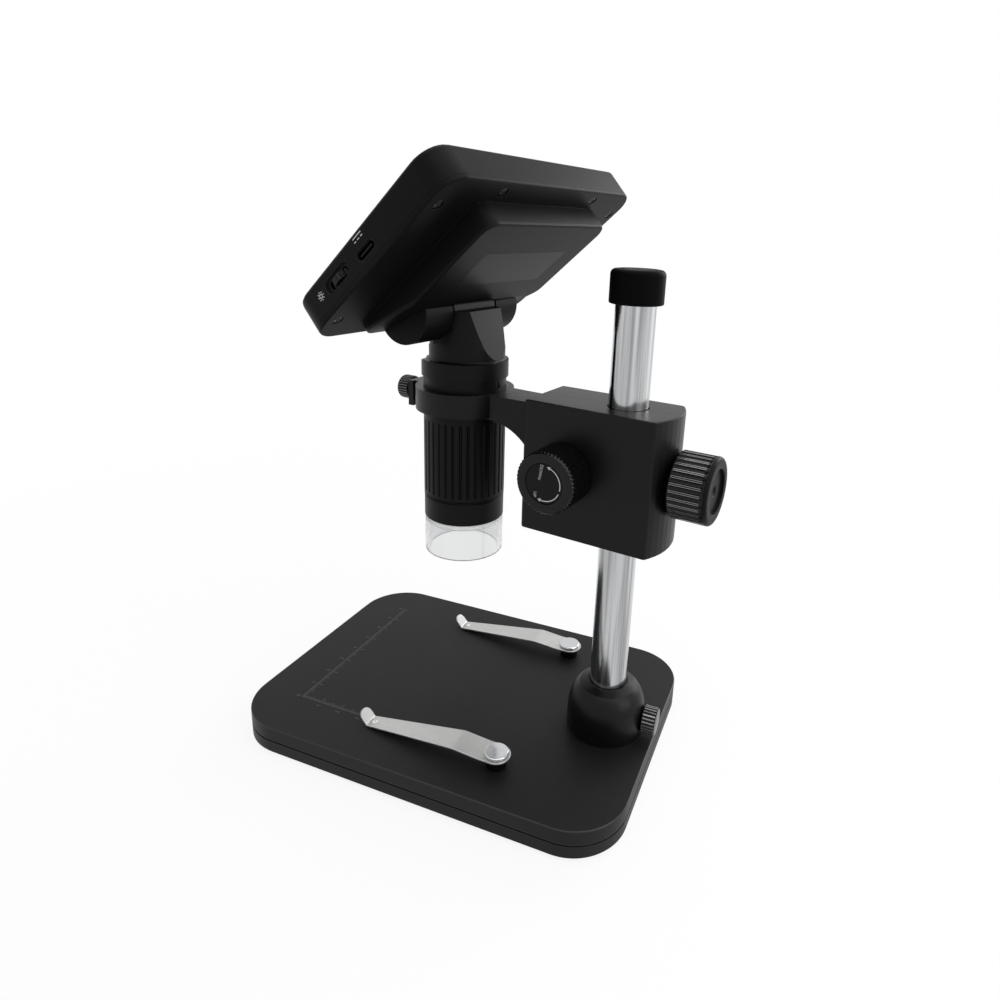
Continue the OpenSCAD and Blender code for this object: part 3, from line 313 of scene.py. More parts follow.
def crests(radius, count=1, reach=far, end=far, face=far, slack=0.04):
    # the second look, a painted highlight, where a face's middle is within slack of the full radius, as far as reach
    # from each groove's middle line, and the third on what lies past face
    def pick(middles, normals):
        around, pitch = np.hypot(middles[:, 0], middles[:, 1]), 2 * np.pi / count
        angle = np.arctan2(middles[:, 1], middles[:, 0])
        across = radius * abs(np.mod(angle + pitch / 2, pitch) - pitch / 2)
        onCrest = (around > radius - slack) & (across < reach) & (middles[:, 2] < end)
        return np.where(middles[:, 2] > face, 2, onCrest)
    return pick


def softCopy(node, looks, width, angle=32):  # a merged copy of the node's own mesh with its edges rounded
    mesh = frame["nodes"][node].data.copy()
    mergeDoubles(mesh, 2e-6, 0.3)
    finishMesh(node + "_soft", mesh, looks, node, True, 80, width, angle)


# Materials

def linear(code):  # sRGB hex to linear
    values = np.array([int(code[i:i + 2], 16) for i in (1, 3, 5)]) / 255
    values = np.where(values <= 0.04045, values / 12.92, ((values + 0.055) / 1.055) ** 2.4)
    return (*values.tolist(), 1.0)


def addNode(tree, kind, settings=None, links=None):
    node = tree.nodes.new("ShaderNode" + kind)
    for key, value in (settings or {}).items():
        if isinstance(key, int) or key in node.inputs:
            node.inputs[key].default_value = value
        else:
            setattr(node, key, value)
    for key, socket in (links or {}).items():
        tree.links.new(socket, node.inputs[key])
    return node


def newMaterial(name):
    material = bpy.data.materials.new(name)
    material.use_nodes = True
    material.node_tree.nodes.clear()
    return material, material.node_tree


driftMm = 30  # size of the slow change of tone


def surface(name, dark, light, grainMm, rough, bump=(0.1, 0.02), specular=0.5, metallic=0, sockets=None,
            toneFollowsGrain=False, toneSpread=0.3):
    # grainMm is the size of the fine relief, for all axes or for each; rough is the range of roughness, and bump
    # the relief's strength and height in mm; toneSpread is the share of noise on either side of its middle that
    # runs from the dark to the light colour; the grain also moves the roughness, so no highlight looks printed on
    material, tree = newMaterial(name)
    place = addNode(tree, "TexCoord").outputs["Object"]
    grainPlace = addNode(tree, "Mapping", {"Scale": tuple(1 / (size * mm) for size in np.broadcast_to(grainMm, 3))},
                         {"Vector": place})
    grain = addNode(tree, "TexNoise", {"Scale": 1.0, "Detail": 3.0, "Roughness": 0.6},
                    {"Vector": grainPlace.outputs["Vector"]})
    drift = addNode(tree, "TexNoise", {"Scale": 1 / (driftMm * mm), "Detail": 2.0}, {"Vector": place})
    share = grain if toneFollowsGrain else drift
    spread = addNode(tree, "MapRange", {"From Min": 0.5 - toneSpread, "From Max": 0.5 + toneSpread},
                     {"Value": share.outputs["Fac"]})
    tone = addNode(tree, "Mix", {"data_type": "RGBA", 6: linear(dark), 7: linear(light)},
                   {"Factor": spread.outputs["Result"]})
    roughness = addNode(tree, "MapRange", {"From Min": 0.3, "From Max": 0.7, "To Min": rough[0], "To Max": rough[1]},
                        {"Value": grain.outputs["Fac"]})
    relief = addNode(tree, "Bump", {"Strength": bump[0], "Distance": bump[1] * mm}, {"Height": grain.outputs["Fac"]})
    shader = addNode(tree, "BsdfPrincipled", {"Specular IOR Level": specular, "Metallic": metallic, **(sockets or {})},
                     {"Base Color": tone.outputs[2], "Roughness": roughness.outputs["Result"],
                      "Normal": relief.outputs["Normal"]})
    addNode(tree, "OutputMaterial", {}, {"Surface": shader.outputs["BSDF"]})
    return material


# in each row: name, dark and light colour, size of the grain in mm, range of roughness, and the relief's strength
# and height in mm
materials = {
    # ABS from a spark eroded mould: a close satin grain that spreads each highlight
    "base": surface("mouldedAbsBase", "#121213", "#171718", 0.4, (0.42, 0.54), (0.25, 0.04), specular=0.16),
    "casing": surface("mouldedAbsCasing", "#0d0d0e", "#111112", 0.35, (0.36, 0.48), (0.2, 0.03), specular=0.06),
    "barrel": surface("mouldedBarrelAbs", "#09090a", "#0c0c0d", 0.3, (0.34, 0.46), (0.2, 0.03), specular=0.11),
    "knobFace": surface("mouldedDiscAbs", "#111112", "#151516", 0.3, (0.4, 0.5), (0.2, 0.03), specular=0.1),
    # glass filled nylon of the block, the arm and the socket: darker, with a soft sheen at grazing angles
    "nylon": surface("glassFilledNylon", "#09090a", "#0c0c0d", 0.4, (0.3, 0.42), (0.2, 0.03), specular=0.17),
    # soft cap over the tube's end: the blackest plastic here, with hardly any sheen
    "softCap": surface("mouldedCapPvc", "#080809", "#0b0b0c", 0.4, (0.4, 0.5), (0.2, 0.03), specular=0.02),
    # nylon of the knobs, polished a little by hands; the thin highlights on the ridges are painted on their crests by
    # a lighter look
    "knob": surface("mouldedKnobNylon", "#070708", "#0a0a0b", 0.35, (0.18, 0.28), (0.12, 0.02), specular=0.2),
    # the same mouldings with painted highlights: edges painted a shade greyer and made glossier, crests painted far
    # lighter with a clear coat, as thin highlight lines
    "paintedHighlightEdge": surface("paintedHighlightAbsEdge", "#19191a", "#222223", 0.4, (0.24, 0.36), specular=0.34),
    "paintedHighlightCrest": surface("paintedHighlightNylonCrest", "#5c5c5e", "#707072", 0.5, (0.16, 0.26), specular=1,
                           sockets={"Coat Weight": 0.7, "Coat Roughness": 0.15}),
    # chromed steel tube: near mirror, with faint draw lines in its relief along its length; its tone runs in streaks
    # from dark to light along the length, which are painted reflections
    "chromeTube": surface("chromedSteelTubePaintedReflections", "#77787b", "#dfe0e1", (3.4, 3.4, 200), (0.12, 0.22), (0.12, 0.02),
                          metallic=1, toneFollowsGrain=True, toneSpread=0.18),
    "chrome": surface("polishedChromePlate", "#c3c4c6", "#cfd0d2", 0.6, (0.1, 0.16), (0.05, 0.01), metallic=1),
    # tumbled spring steel: satin, with light scratches along the strip; a darker, duller copy on the tips is painted
    # shade over the glare of the lamp above
    "springSteel": surface("tumbledSpringSteel", "#aeaead", "#c0c0bf", (0.5, 6, 0.5), (0.36, 0.46), (0.06, 0.01),
                           metallic=1, toneFollowsGrain=True),
    "paintedShadeTipSteel": surface("paintedShadeSpringSteel", "#8b8b8a", "#9b9b9a", 0.6, (0.4, 0.5), (0.06, 0.01), metallic=1),
    # black zinc plate of the small screws: dark, with sharp sparkle on the recess
    "blackZinc": surface("blackZincPlate", "#2c2c2f", "#3c3c40", 0.3, (0.24, 0.34), metallic=1),
    "rolledSteel": surface("rolledSteelSheet", "#77787c", "#8e8f93", (0.6, 8, 0.6), (0.3, 0.42), metallic=1),
    "brass": surface("machinedBrass", "#a58c4a", "#bda463", 0.25, (0.24, 0.36), (0.12, 0.02), metallic=1),
    # black nickel shell of the ports: seen only as a faint outline in the dark opening
    "blackShell": surface("blackNickelShell", "#161618", "#202023", 0.3, (0.2, 0.3), (0.08, 0.02), metallic=1),
    "tinPlate": surface("stampedTinPlate", "#9b9ca0", "#b3b4b8", 0.5, (0.24, 0.34), metallic=1),
    # soft rubber of the feet: dull, slightly dusty
    "rubber": surface("mouldedRubber", "#121213", "#1b1b1c", 0.45, (0.7, 0.85), (0.35, 0.06), specular=0.3),
    "acetal": surface("machinedAcetal", "#2a2a2c", "#343436", 0.3, (0.32, 0.42), (0.15, 0.02)),
    # solder mask over a fibreglass weave: glossy, slightly uneven
    "board": surface("solderMaskedBoard", "#0f3a25", "#17492f", 0.6, (0.26, 0.38), (0.15, 0.03)),
    "whiteBoard": surface("whiteSolderMask", "#d9d8d0", "#e6e5dd", 0.5, (0.34, 0.46)),
    # silicone over the lamp chips, filled with yellow phosphor: looks like matt custard
    "phosphor": surface("phosphorSilicone", "#d8c25a", "#e4d070", 0.2, (0.45, 0.55)),
    # wrinkled foil pouch of the cell
    "foil": surface("foilPouch", "#8f9399", "#a9adb3", 2.5, (0.26, 0.36), (0.4, 0.1), metallic=1),
    # cover glass printed black from behind: a sharp, almost black mirror
    "coverGlass": surface("printedCoverGlass", "#050506", "#060607", 3, (0.05, 0.09), (0.02, 0.01), specular=0.16),
    # the unlit display seen through the glass: a shade bluer than its border
    "display": surface("unlitDisplay", "#0c0e15", "#10131b", 3, (0.06, 0.1), (0.02, 0.01), specular=0.2),
    # pad printed ink: flat and slightly broken by the grain under it
    "whiteInk": surface("whitePadPrint", "#bdbdbb", "#d2d2d0", 0.25, (0.55, 0.7), (0.2, 0.01), toneFollowsGrain=True),
    "greyInk": surface("greyPadPrint", "#3a3a3c", "#4a4a4c", 0.3, (0.55, 0.7), (0.2, 0.01), toneFollowsGrain=True),
    # polyester film of a bare rating plate: smoother than the moulding round it
    "film": surface("polyesterFilm", "#0e0e0f", "#111112", 0.5, (0.3, 0.36), (0.06, 0.02), specular=0.065),
    # moulded acrylic: clear, with the even grey haze of handling
    "clearAcrylic": surface("clearMouldedAcrylic", "#ecedee", "#f1f2f2", 1.2, (0.05, 0.1), (0.03, 0.01),
                            sockets={"Transmission Weight": 0.9, "IOR": 1.49}),
    "lensGlass": surface("coatedLensGlass", "#dfe8f0", "#e4ecf3", 2, (0.01, 0.02), (0, 0.01),
                         sockets={"Transmission Weight": 1.0, "IOR": 1.52}),
}
nodeLook = {
    "ballast_plate": "rolledSteel", "base_feet": "rubber", "socket_fixings": "blackZinc",
    "column_sleeve": "acetal", "lock_nut": "brass", "focus_shaft": "blackZinc", "pinion": "brass", "rack": "brass",
    "led_board": "whiteBoard", "sensor_board": "board", "lens_cell": "barrel", "lens": "lensGlass",
    "hinge_pin": "chrome", "lcd_panel": "tinPlate", "main_board": "board", "battery": "foil", "key_board": "board",
    "usb_socket": "blackShell", "card_socket": "blackShell", "dimmer_base": "acetal",
}
for node, look in nodeLook.items():
    frame["nodes"][node].data.materials.clear()
    frame["nodes"][node].data.materials.append(materials[look])
print("materials done")


# Base: tray, cover and the printed centimetre rule

base = {"corner": 22, "edge": 0.45, "wall": 2.4, "lip": 0.35, "trayEdge": 0.25, "leans": (0.1, 0.97),
        "ruleCorner": (38.6, -63.2), "ruleCm": (8, 6), "ruleLine": 0.3, "tick": (1.1, 1.9, 2.8),
        "digit": 2.6, "digitAway": 2.1}


def coverShell():
    # the plate's profile runs from the open underside up the outer wall and over the edge to the top,
    # and the inner wall runs back down from the ceiling
    low, high = nodeBox("base_cover")
    width, length = (high - low)[:2]
    wall, edge = base["wall"], base["edge"]
    outer = roundedLine([(wall, low[2]), (0, low[2], base["lip"]), (0, high[2], edge), (edge * 2, high[2])], 6)
    inner = [(wall, high[2] - wall), (wall, low[2])]
    return plate(width, length, base["corner"], inner + outer.tolist()[1:], steps=14)


def onEdges(middles, normals):  # the rounded edges are the faces that lean between flat and upright
    upright, flat = base["leans"]
    return (abs(normals[:, 2]) > upright) & (abs(normals[:, 2]) < flat)


def ruleMarks():
    # one box for each line and tick: ticks come every millimetre, longer at the halves and the whole centimetres,
    # where the digits stand outside the lines
    x0, y0 = base["ruleCorner"]
    z = nodeBox("base_cover")[1][2]
    half, marks = base["ruleLine"] / 2, []

    def mark(x1, y1, x2, y2):
        corners = [(x1 - half, y1 - half), (x2 + half, y1 - half), (x2 + half, y2 + half), (x1 - half, y2 + half)]
        marks.append(printedArea(corners, z))

    along, up = (10 * cm for cm in base["ruleCm"])
    mark(x0 - along, y0, x0, y0)
    mark(x0, y0, x0, y0 + up)
    for step in range(1, max(along, up) + 1):
        size = base["tick"][2 if step % 10 == 0 else 1 if step % 5 == 0 else 0]
        if step <= along:
            mark(x0 - step, y0, x0 - step, y0 + size)
        if step <= up:
            mark(x0 - size, y0 + step, x0, y0 + step)
    for step in range(0, max(along, up) + 1, 10):
        digit = turnFlat(textMesh(str(step // 10), base["digit"]), 180)
        if step <= along:
            marks.append(moved(digit, (x0 - step, y0 - base["digitAway"], z)))
        if 0 < step <= up:
            marks.append(moved(digit, (x0 + base["digitAway"], y0 + step, z)))
    return marks


# the cover's and tray's rounded edges take the lighter edge look: a painted highlight along them
addPiece("coverShell", [coverShell()], worldFrame, ["base", "paintedHighlightEdge"], "base_cover", pick=onEdges)
softCopy("base_tray", ["base", "paintedHighlightEdge"], base["trayEdge"])
addPiece("centimetreRule", ruleMarks(), worldFrame, "greyInk", "base_cover", stands=False)
print("base done")


# Screws: a domed head with a cross recess, on a plain shank

screws = {"dome": 0.16, "crossDepth": 0.25, "crossWidth": 0.17, "crossReach": 0.62, "shankShare": 0.49,
          "headHeight": {"head_screws": 0.7, "base_screws": 2.0, "block_screws": 2.2}}


def screw(radius, headH, shankL, steps=48):
    # the head's top is a grid of rings of height headH - dome * r^2, less the cross's depth inside its two bars
    rings, way = np.linspace(0, 1, 16)[:, None], ray(np.arange(steps) * 360 / steps)
    x, y = rings * way[:, 0], rings * way[:, 1]
    narrow, wide = np.minimum(abs(x), abs(y)), np.maximum(abs(x), abs(y))
    cross = (narrow < screws["crossWidth"]) & (wide < screws["crossReach"])
    head = np.stack([radius * x, radius * y, headH - screws["dome"] * rings ** 2 - cross * screws["crossDepth"]], -1)
    shankR = radius * screws["shankShare"]
    shank = lathe([(radius, 0), (shankR, 0), (shankR, -shankL), (0, -shankL)], steps)[0]
    return rowSurface(np.concatenate([head, shank.reshape(-1, steps, 3)]))


def addScrews(node, local, axis):
    # one screw for each solid of the node, along one axis of the local frame, with its head on the low side
    a, b = (i for i in range(3) if i != axis)
    headH, shapes = screws["headHeight"][node], []
    for low, high in solidBoxes(node, local):
        middle, size = (low + high) / 2, high - low
        points, quads, caps = screw(max(size[a], size[b]) / 2, headH, size[axis] - headH)
        place = np.zeros_like(points)
        place[:, a], place[:, b] = middle[a] + points[:, 0], middle[b] + points[:, 1]
        place[:, axis] = low[axis] + headH - points[:, 2]
        shapes.append((place, quads, caps))
    addPiece(node + "_crossed", shapes, local, "blackZinc", node, sharp=25)


addScrews("head_screws", headFrame, 2)
addScrews("base_screws", worldFrame, 2)
addScrews("block_screws", carriageFrame, 0)
print("screws done")


# Column, its cap, socket and set screw

fit = 0.05  # mm between parts that slide or turn on each other
tube = {"wall": 1.5, "edge": 0.3}
bell = {"top": 11.5, "cap": 1.2, "mouth": 1, "boreEdge": 0.2, "footHighlight": 0.5}
cap = {"depth": 2, "edge": 1.9, "ring": (3.3, 4.1), "ringDepth": 0.5}
setHead = {"shank": 2.5, "length": 5.6, "flutes": 24, "groove": (0.42, 0.45)}
low, high = nodeBox("column")
columnFrame = turnedFrame(worldFrame, (0, (low[1] + high[1]) / 2, 0), (1, 0, 0), (0, 0, 1))
tubeR = (high[0] - low[0]) / 2


def columnTube():  # a ring section with rounded ends, turned about the column's axis
    low, high = nodeBox("column")
    inner, edge = tubeR - tube["wall"], tube["edge"]
    profile = roundedLine([(inner, low[2]), (tubeR, low[2], edge), (tubeR, high[2], edge), (inner, high[2])], 3)
    return lathe(profile, 128, ring=True)


def socketBell():
    # the wall's radius at a share s of its height is top + (wide - top) * (1 - s^5); a low cone joins it to
    # the mouth
    low, high = nodeBox("column_socket")
    wide, top, edge = (high[0] - low[0]) / 2, high[2], bell["boreEdge"]
    bore = nodeBox("column")[1][0] + fit
    share = np.sin(np.linspace(0, np.pi / 2, 40))
    radius = bell["top"] + (wide - bell["top"]) * (1 - share ** 5)
    height = low[2] + share * (top - low[2] - bell["cap"])
    mouth = [(bore + bell["mouth"], top), (bore + edge, top), (bore, top - edge), (bore, low[2])]
    return lathe(np.concatenate([np.column_stack([radius, height]), mouth]), 128, ring=True)


def endCap():  # a turned section: a skirt over the tube's end, a rounded shoulder and a ring groove in the top
    low, high = nodeBox("end_cap")
    radius, bore, top = (high[0] - low[0]) / 2, tubeR + fit, high[2]
    ceiling, floor = top - cap["depth"], top - cap["ringDepth"]
    ringOut, ringIn = (radius - inset for inset in cap["ring"])
    return lathe(roundedLine([(0, ceiling), (bore, ceiling), (bore, low[2], 0.2), (radius, low[2], 0.5),
                              (radius, top, cap["edge"]), (ringOut, top, 0.15), (ringOut, floor, 0.1),
                              (ringIn, floor, 0.1), (ringIn, top, 0.15), (0, top)], 6), 96)


def setScrew(radius, end):  # a fluted head with a bevelled rim on a plain shank
    shank, head = setHead["shank"], end - setHead["length"]
    profile = roundedLine([(0, 0), (shank, 0, 0.3), (shank, head), (radius, head, 0.4), (radius, end, 0.5),
                           (0, end)], 4)
    return fluted(profile, radius, setHead["flutes"], setHead["groove"])


addPiece("chromedTube", [columnTube()], columnFrame, "chromeTube", "column")
addPiece("endCapTurned", [endCap()], columnFrame, "softCap", "end_cap", sharp=50)
# the bell's lowest band takes the lighter edge look: a painted highlight line round its foot
footHighlightTop = nodeBox("column_socket", columnFrame)[0][2] + bell["footHighlight"]
addPiece("socketBell", [socketBell()], columnFrame, ["nylon", "paintedHighlightEdge"], "column_socket", sharp=50,
         pick=lambda middles, normals: middles[:, 2] < footHighlightTop)
low, high = nodeBox("set_screw")
setFrame = turnedFrame(worldFrame, ((low + high)[0] / 2, low[1], (low + high)[2] / 2), (1, 0, 0), (0, 1, 0))
radius, end = nodeBox("set_screw", setFrame)[1][[0, 2]]
# the flute crests take the lighter crest look: painted highlight lines
addPiece("setScrewFluted", [setScrew(radius, end)], setFrame, ["knob", "paintedHighlightCrest"], "set_screw",
         pick=crests(radius))
print("column done")


# Stage clips: a bent strip, a domed rivet and a spacer

clip = {"thick": 0.8, "edge": 0.2, "tail": 5.6, "tip": 3.2, "kink": -16.4, "bend": -58.1, "end": -62.1,
        "rise": 4.4, "lift": 0.95, "touch": 0.35, "tipUp": 5.2, "rounds": (6, 9, 1.6),
        "dimple": (1.5, 0.6), "dimpleIn": 1.9, "stem": 2, "rivetHead": 1.2, "spacerEdge": 0.2}


def clipStrip():
    # a flat section carried along the bent middle line: the half width narrows from the rivet to the bend and
    # closes round at both ends as sqrt(1 - s^2)
    tail, tip, rise, rounds = clip["tail"], clip["tip"], clip["rise"], clip["rounds"]
    line = roundedLine([(tail, rise), (-tail, rise, rounds[0]), (clip["kink"], rise + clip["lift"], rounds[1]),
                        (clip["bend"], clip["touch"], rounds[2]), (clip["end"], clip["tipUp"])], 8)
    steps = np.cumsum(np.r_[0, np.hypot(*np.diff(line, axis=0).T)])
    total = steps[-1]
    startSide, endSide = (np.linspace(0, 1, 14) ** 2 * side for side in (tail, tip))
    place = np.unique(np.r_[startSide, steps[(steps > tail) & (steps < total - tip)],
                            np.linspace(tail, total - tip, 24), total - endSide])
    y, z = np.interp(place, steps, line[:, 0]), np.interp(place, steps, line[:, 1])
    half = np.interp(y, [clip["end"], clip["bend"], clip["kink"], tail], [tip, tip, tail, tail])
    nearStart, nearEnd = np.clip(1 - place / tail, 0, 1), np.clip(1 - (total - place) / tip, 0, 1)
    half = half * np.sqrt(1 - nearStart ** 2) * np.sqrt(1 - nearEnd ** 2)
    along = np.column_stack([np.gradient(y, place), np.gradient(z, place)])
    along /= np.linalg.norm(along, axis=1)[:, None]
    up = np.column_stack([along[:, 1], -along[:, 0]])
    rows = []
    for i in range(len(place)):
        w, t = max(half[i], 0.02), clip["thick"]
        e = min(clip["edge"], w * 0.9)
        loop = roundedLine([(-w, 0, e), (w, 0, e), (w, t, e), (-w, t, e)], 3)
        rows.append(np.column_stack([loop[:, 0], y[i] + loop[:, 1] * up[i, 0], z[i] + loop[:, 1] * up[i, 1]]))
    return rowSurface(rows, capped=True)


def clipDimple():  # a dome pressed up just before the bend: radius r sin s, height h cos s
    share = np.linspace(0, np.pi / 2, 8)
    radius, height = clip["dimple"]
    profile = np.column_stack([radius * np.sin(share), height * np.cos(share)])
    dome = lathe(np.concatenate([profile, [(0, -clip["thick"] / 2)]]), 40)
    slope = (clip["rise"] + clip["lift"] - clip["touch"]) / (clip["kink"] - clip["bend"])
    top = clip["touch"] + clip["thick"] + slope * clip["dimpleIn"]
    return moved(dome, (0, clip["bend"] + clip["dimpleIn"], top))


def rivet(low, high):  # head, rim bead and stem, turned about the solid's own axis
    radius, height = (high[0] - low[0]) / 2, high[2] - low[2]
    stem, under = clip["stem"], height - clip["rivetHead"]
    shape = lathe(roundedLine([(0, 0), (stem, 0, 0.2), (stem, under), (radius, under, 0.25), (radius, height, 0.55),
                               (0, height)], 5), 72)
    return moved(shape, (*(low + high)[:2] / 2, low[2]))


for node in ("clip_left", "clip_right"):
    clipFrame = turnedFrame(worldFrame, np.array(joints[node + "_swing"]["pos_m"]) / mm, (1, 0, 0), (0, 0, 1))
    # past the bend the tip takes the darker copy of the steel: painted shade
    addPiece(node + "_strip", [clipStrip(), clipDimple()], clipFrame, ["springSteel", "paintedShadeTipSteel"], node, sharp=50,
             pick=lambda middles, normals: middles[:, 1] < clip["bend"])
rivets = [rivet(low, high) for low, high in solidBoxes("clip_rivets", worldFrame)]
addPiece("clipRivets", rivets, worldFrame, "chrome", "clip_rivets", sharp=50)
softCopy("clip_spacers", "knob", clip["spacerEdge"])
print("clips done")


# Carriage: block halves, lock knob, focus knob with its printed disc

# a groove is (half width, depth), back is (in, up), rim (width, rounding) and dimple (mouth, floor, depth);
# for the focus knob, bore is (radius, depth), rim (in, down) and seat (in, depth)
blockEdge = 0.3
lock = {"ridges": 30, "groove": (0.87, 0.75), "grooveEnd": 1.9, "edge": 1.12, "crestEnd": 2.6, "face": 1.5,
        "stem": 3, "gap": 0.3, "back": (1.4, 1.2), "rim": (4.3, 1.5), "dish": 1.2, "dimple": (2.1, 1.5, 2.4)}
focus = {"flutes": 48, "groove": (0.45, 0.4), "grooveEnd": 0.5, "bore": (3, 2), "rim": (0.9, 1.1), "seat": (4.2, 1)}
ways = {"arcs": ((74, -12), (-24, -104)), "arcShare": 0.86, "arcWidth": 0.34, "arrow": 0.8,
        "words": (("DOWN", (-0.2, 0.54)), ("UP", (-0.46, -0.62))), "word": 1.75, "wordTurn": -100, "thinner": 0.012}


def knobFrame(joint):  # z along the knob's axis, with zero at the joint
    axis = joints[joint]["axis"]
    return localFrame(joints[joint]["pos_m"], np.cross(carriageFrame[1][2], axis), axis)


def lockKnob(local):
    # a turned section with ridges: a drum with a rounded rim, a dished face and a dimple in its middle; the rows
    # along its wall carry the grooves to their round ends
    low, high = nodeBox("lock_knob", local)
    radius, end, stem = high[0], high[2], lock["stem"]
    start = nodeBox("block_right", local)[1][2] + lock["gap"]
    backIn, backUp = lock["back"]
    rim, dish = radius - lock["rim"][0], end - lock["dish"]
    dimpleR, floorR, dimple = lock["dimple"]
    corners = [(0, low[2]), (stem, low[2]), (stem, start), (radius - backIn, start, 0.5),
               (radius, start + backUp, 0.8)]
    corners += [(radius, height) for height in np.linspace(start + 2.6, end - 3.4, 5)]
    corners += [(radius, end - lock["crestEnd"]), (radius, end - 1.6), (radius, end, lock["rim"][1]),
                (rim, end, 0.4), (rim, dish, 0.2), (dimpleR, dish, 0.4), (floorR, end - dimple, 0.4),
                (0, end - dimple)]
    return fluted(roundedLine(corners), radius, lock["ridges"], lock["groove"], high=end - lock["grooveEnd"],
                  stepsEach=12)


def focusKnob(local):
    # a finely fluted drum: the flutes run out through the rim, and a smooth ring frames the disc
    low, high = nodeBox("focus_knob", local)
    radius, end, start = high[0], high[2], low[2]
    bore, boreEnd = focus["bore"][0], end - focus["bore"][1]
    rimIn, rimDown = focus["rim"]
    seat, floor = radius - focus["seat"][0], end - focus["seat"][1]
    profile = roundedLine([(0, boreEnd), (bore, boreEnd), (bore, start), (radius, start, 0.5),
                           (radius, end - rimDown, 0.4), (radius - rimIn, end, 0.5), (seat, end, 0.25),
                           (seat, floor), (0, floor)], 4)
    return fluted(profile, radius, focus["flutes"], focus["groove"], high=end - focus["grooveEnd"], stepsEach=8)


def discPrint(high):
    # two arcs, each with an arrow head at one end, and the word for each way read downward beside it
    radius, z, shapes = high[0] * ways["arcShare"], high[2], []
    for arc, tip, way in zip(ways["arcs"], (0, 1), (90, -90)):
        shapes.append(printedLine(arcLine(radius, *arc), ways["arcWidth"], z))
        shapes.append(printedArea(triangle(radius * ray(arc[tip]), ways["arrow"], arc[tip] + way), z))
    for word, (x, y) in ways["words"]:
        letters = turnFlat(textMesh(word, ways["word"], ways["thinner"]), ways["wordTurn"])
        shapes.append(moved(letters, (x * high[0], y * high[0], z)))
    return shapes


# the blocks' rounded edges take the lighter edge look: a painted highlight along them
for node in ("block_right", "block_left"):
    softCopy(node, ["nylon", "paintedHighlightEdge"], blockEdge)
lockFrame = knobFrame("lock_knob_turn")
radius, end = nodeBox("lock_knob", lockFrame)[1][[0, 2]]
# the ridge crests take the lighter crest look: painted highlight lines
addPiece("lockKnobRidged", [lockKnob(lockFrame)], lockFrame, ["knob", "paintedHighlightCrest", "casing"], "lock_knob",
         pick=crests(radius, lock["ridges"], lock["edge"], end - lock["crestEnd"], end - lock["face"]))
focusFrame = knobFrame("focus_knob_turn")
addPiece("focusKnobFluted", [focusKnob(focusFrame)], focusFrame, "knob", "focus_knob")
low, high = nodeBox("focus_knob_disc", focusFrame)
disc = lathe(roundedLine([(0, low[2]), (high[0], low[2]), (high[0], high[2], 0.15), (0, high[2])], 3), 96)
addPiece("focusDisc", [disc], focusFrame, "knobFace", "focus_knob_disc")
addPiece("focusDiscPrint", discPrint(high), focusFrame, "whiteInk", "focus_knob_disc", stands=False)
print("carriage done")


# Arm and clamp screw

armEdge = 0.5
clamp = {"flutes": 28, "groove": (0.38, 0.4), "head": 5.6, "shank": 2, "collar": (3, 1)}  # collar is (radius, length)


def clampScrew(local):  # a turned section: a shank, a short collar and a fluted head
    low, high = nodeBox("clamp_screw", local)
    radius, end, shank = high[0], high[2], clamp["shank"]
    head = end - clamp["head"]
    collar, under = clamp["collar"][0], head - clamp["collar"][1]
    profile = roundedLine([(0, low[2]), (shank, low[2], 0.2), (shank, under), (collar, under, 0.2), (collar, head),
                           (radius, head, 0.4), (radius, end, 0.8), (0, end)], 4)
    return fluted(profile, radius, clamp["flutes"], clamp["groove"])


# the arm's rounded edges take the lighter edge look: a painted highlight along them
softCopy("arm", ["nylon", "paintedHighlightEdge"], armEdge)
clampFrame = knobFrame("clamp_screw_turn")
# the flute crests take the lighter crest look: painted highlight lines
addPiece("clampScrewFluted", [clampScrew(clampFrame)], clampFrame, ["knob", "paintedHighlightCrest"], "clamp_screw",
         pick=crests(nodeBox("clamp_screw", clampFrame)[1][0]))
print("arm done")


# Barrel: focus ring, clear cap, lamps and snap button

barrelEdges = {"barrel": (0.2, 32), "nose_ring": (0.3, 32), "neck": (0.35, 14)}  # width, least angle
gripRing = {"grooves": 34, "groove": (0.48, 0.7), "low": 2.4, "top": 3.6, "lineUp": 0.8, "line": 0.35, "wall": 3.05,
            "bevel": 0.3}
clear = {"wall": 1.7, "spigot": 1.45, "threads": 3, "threadStart": 0.4, "threadPitch": 0.7, "threadDepth": 0.22}
lamp = {"count": 8, "ring": 10.5, "dome": (0.95, 0.35)}
snap = {"top": 0.55, "edge": 0.3}


def focusRing():
    # a tube with narrow straight grooves, whose ends get close rows; below them a fine line runs round the ring
    low, high = nodeBox("focus_ring", scopeFrame)
    radius, bottom, top, bevel = high[0], low[2], high[2], gripRing["bevel"]
    inner = radius - gripRing["wall"]
    start, stop = bottom + gripRing["low"], top - gripRing["top"]
    lineAt, half = bottom + gripRing["lineUp"], gripRing["line"] / 2
    profile = [(inner, bottom), (radius - bevel, bottom), (radius, bottom + bevel), (radius, lineAt - half),
               (radius - bevel, lineAt), (radius, lineAt + half)]
    profile += [(radius, height) for height in np.linspace(start - 0.1, start + 1.1, 15)]
    profile += [(radius, height) for height in np.linspace(stop - 1.1, stop + 0.1, 15)]
    profile += [(radius, top - bevel), (radius - bevel, top), (inner, top)]
    return fluted(profile, radius, gripRing["grooves"], gripRing["groove"], start, stop, 14, ring=True)


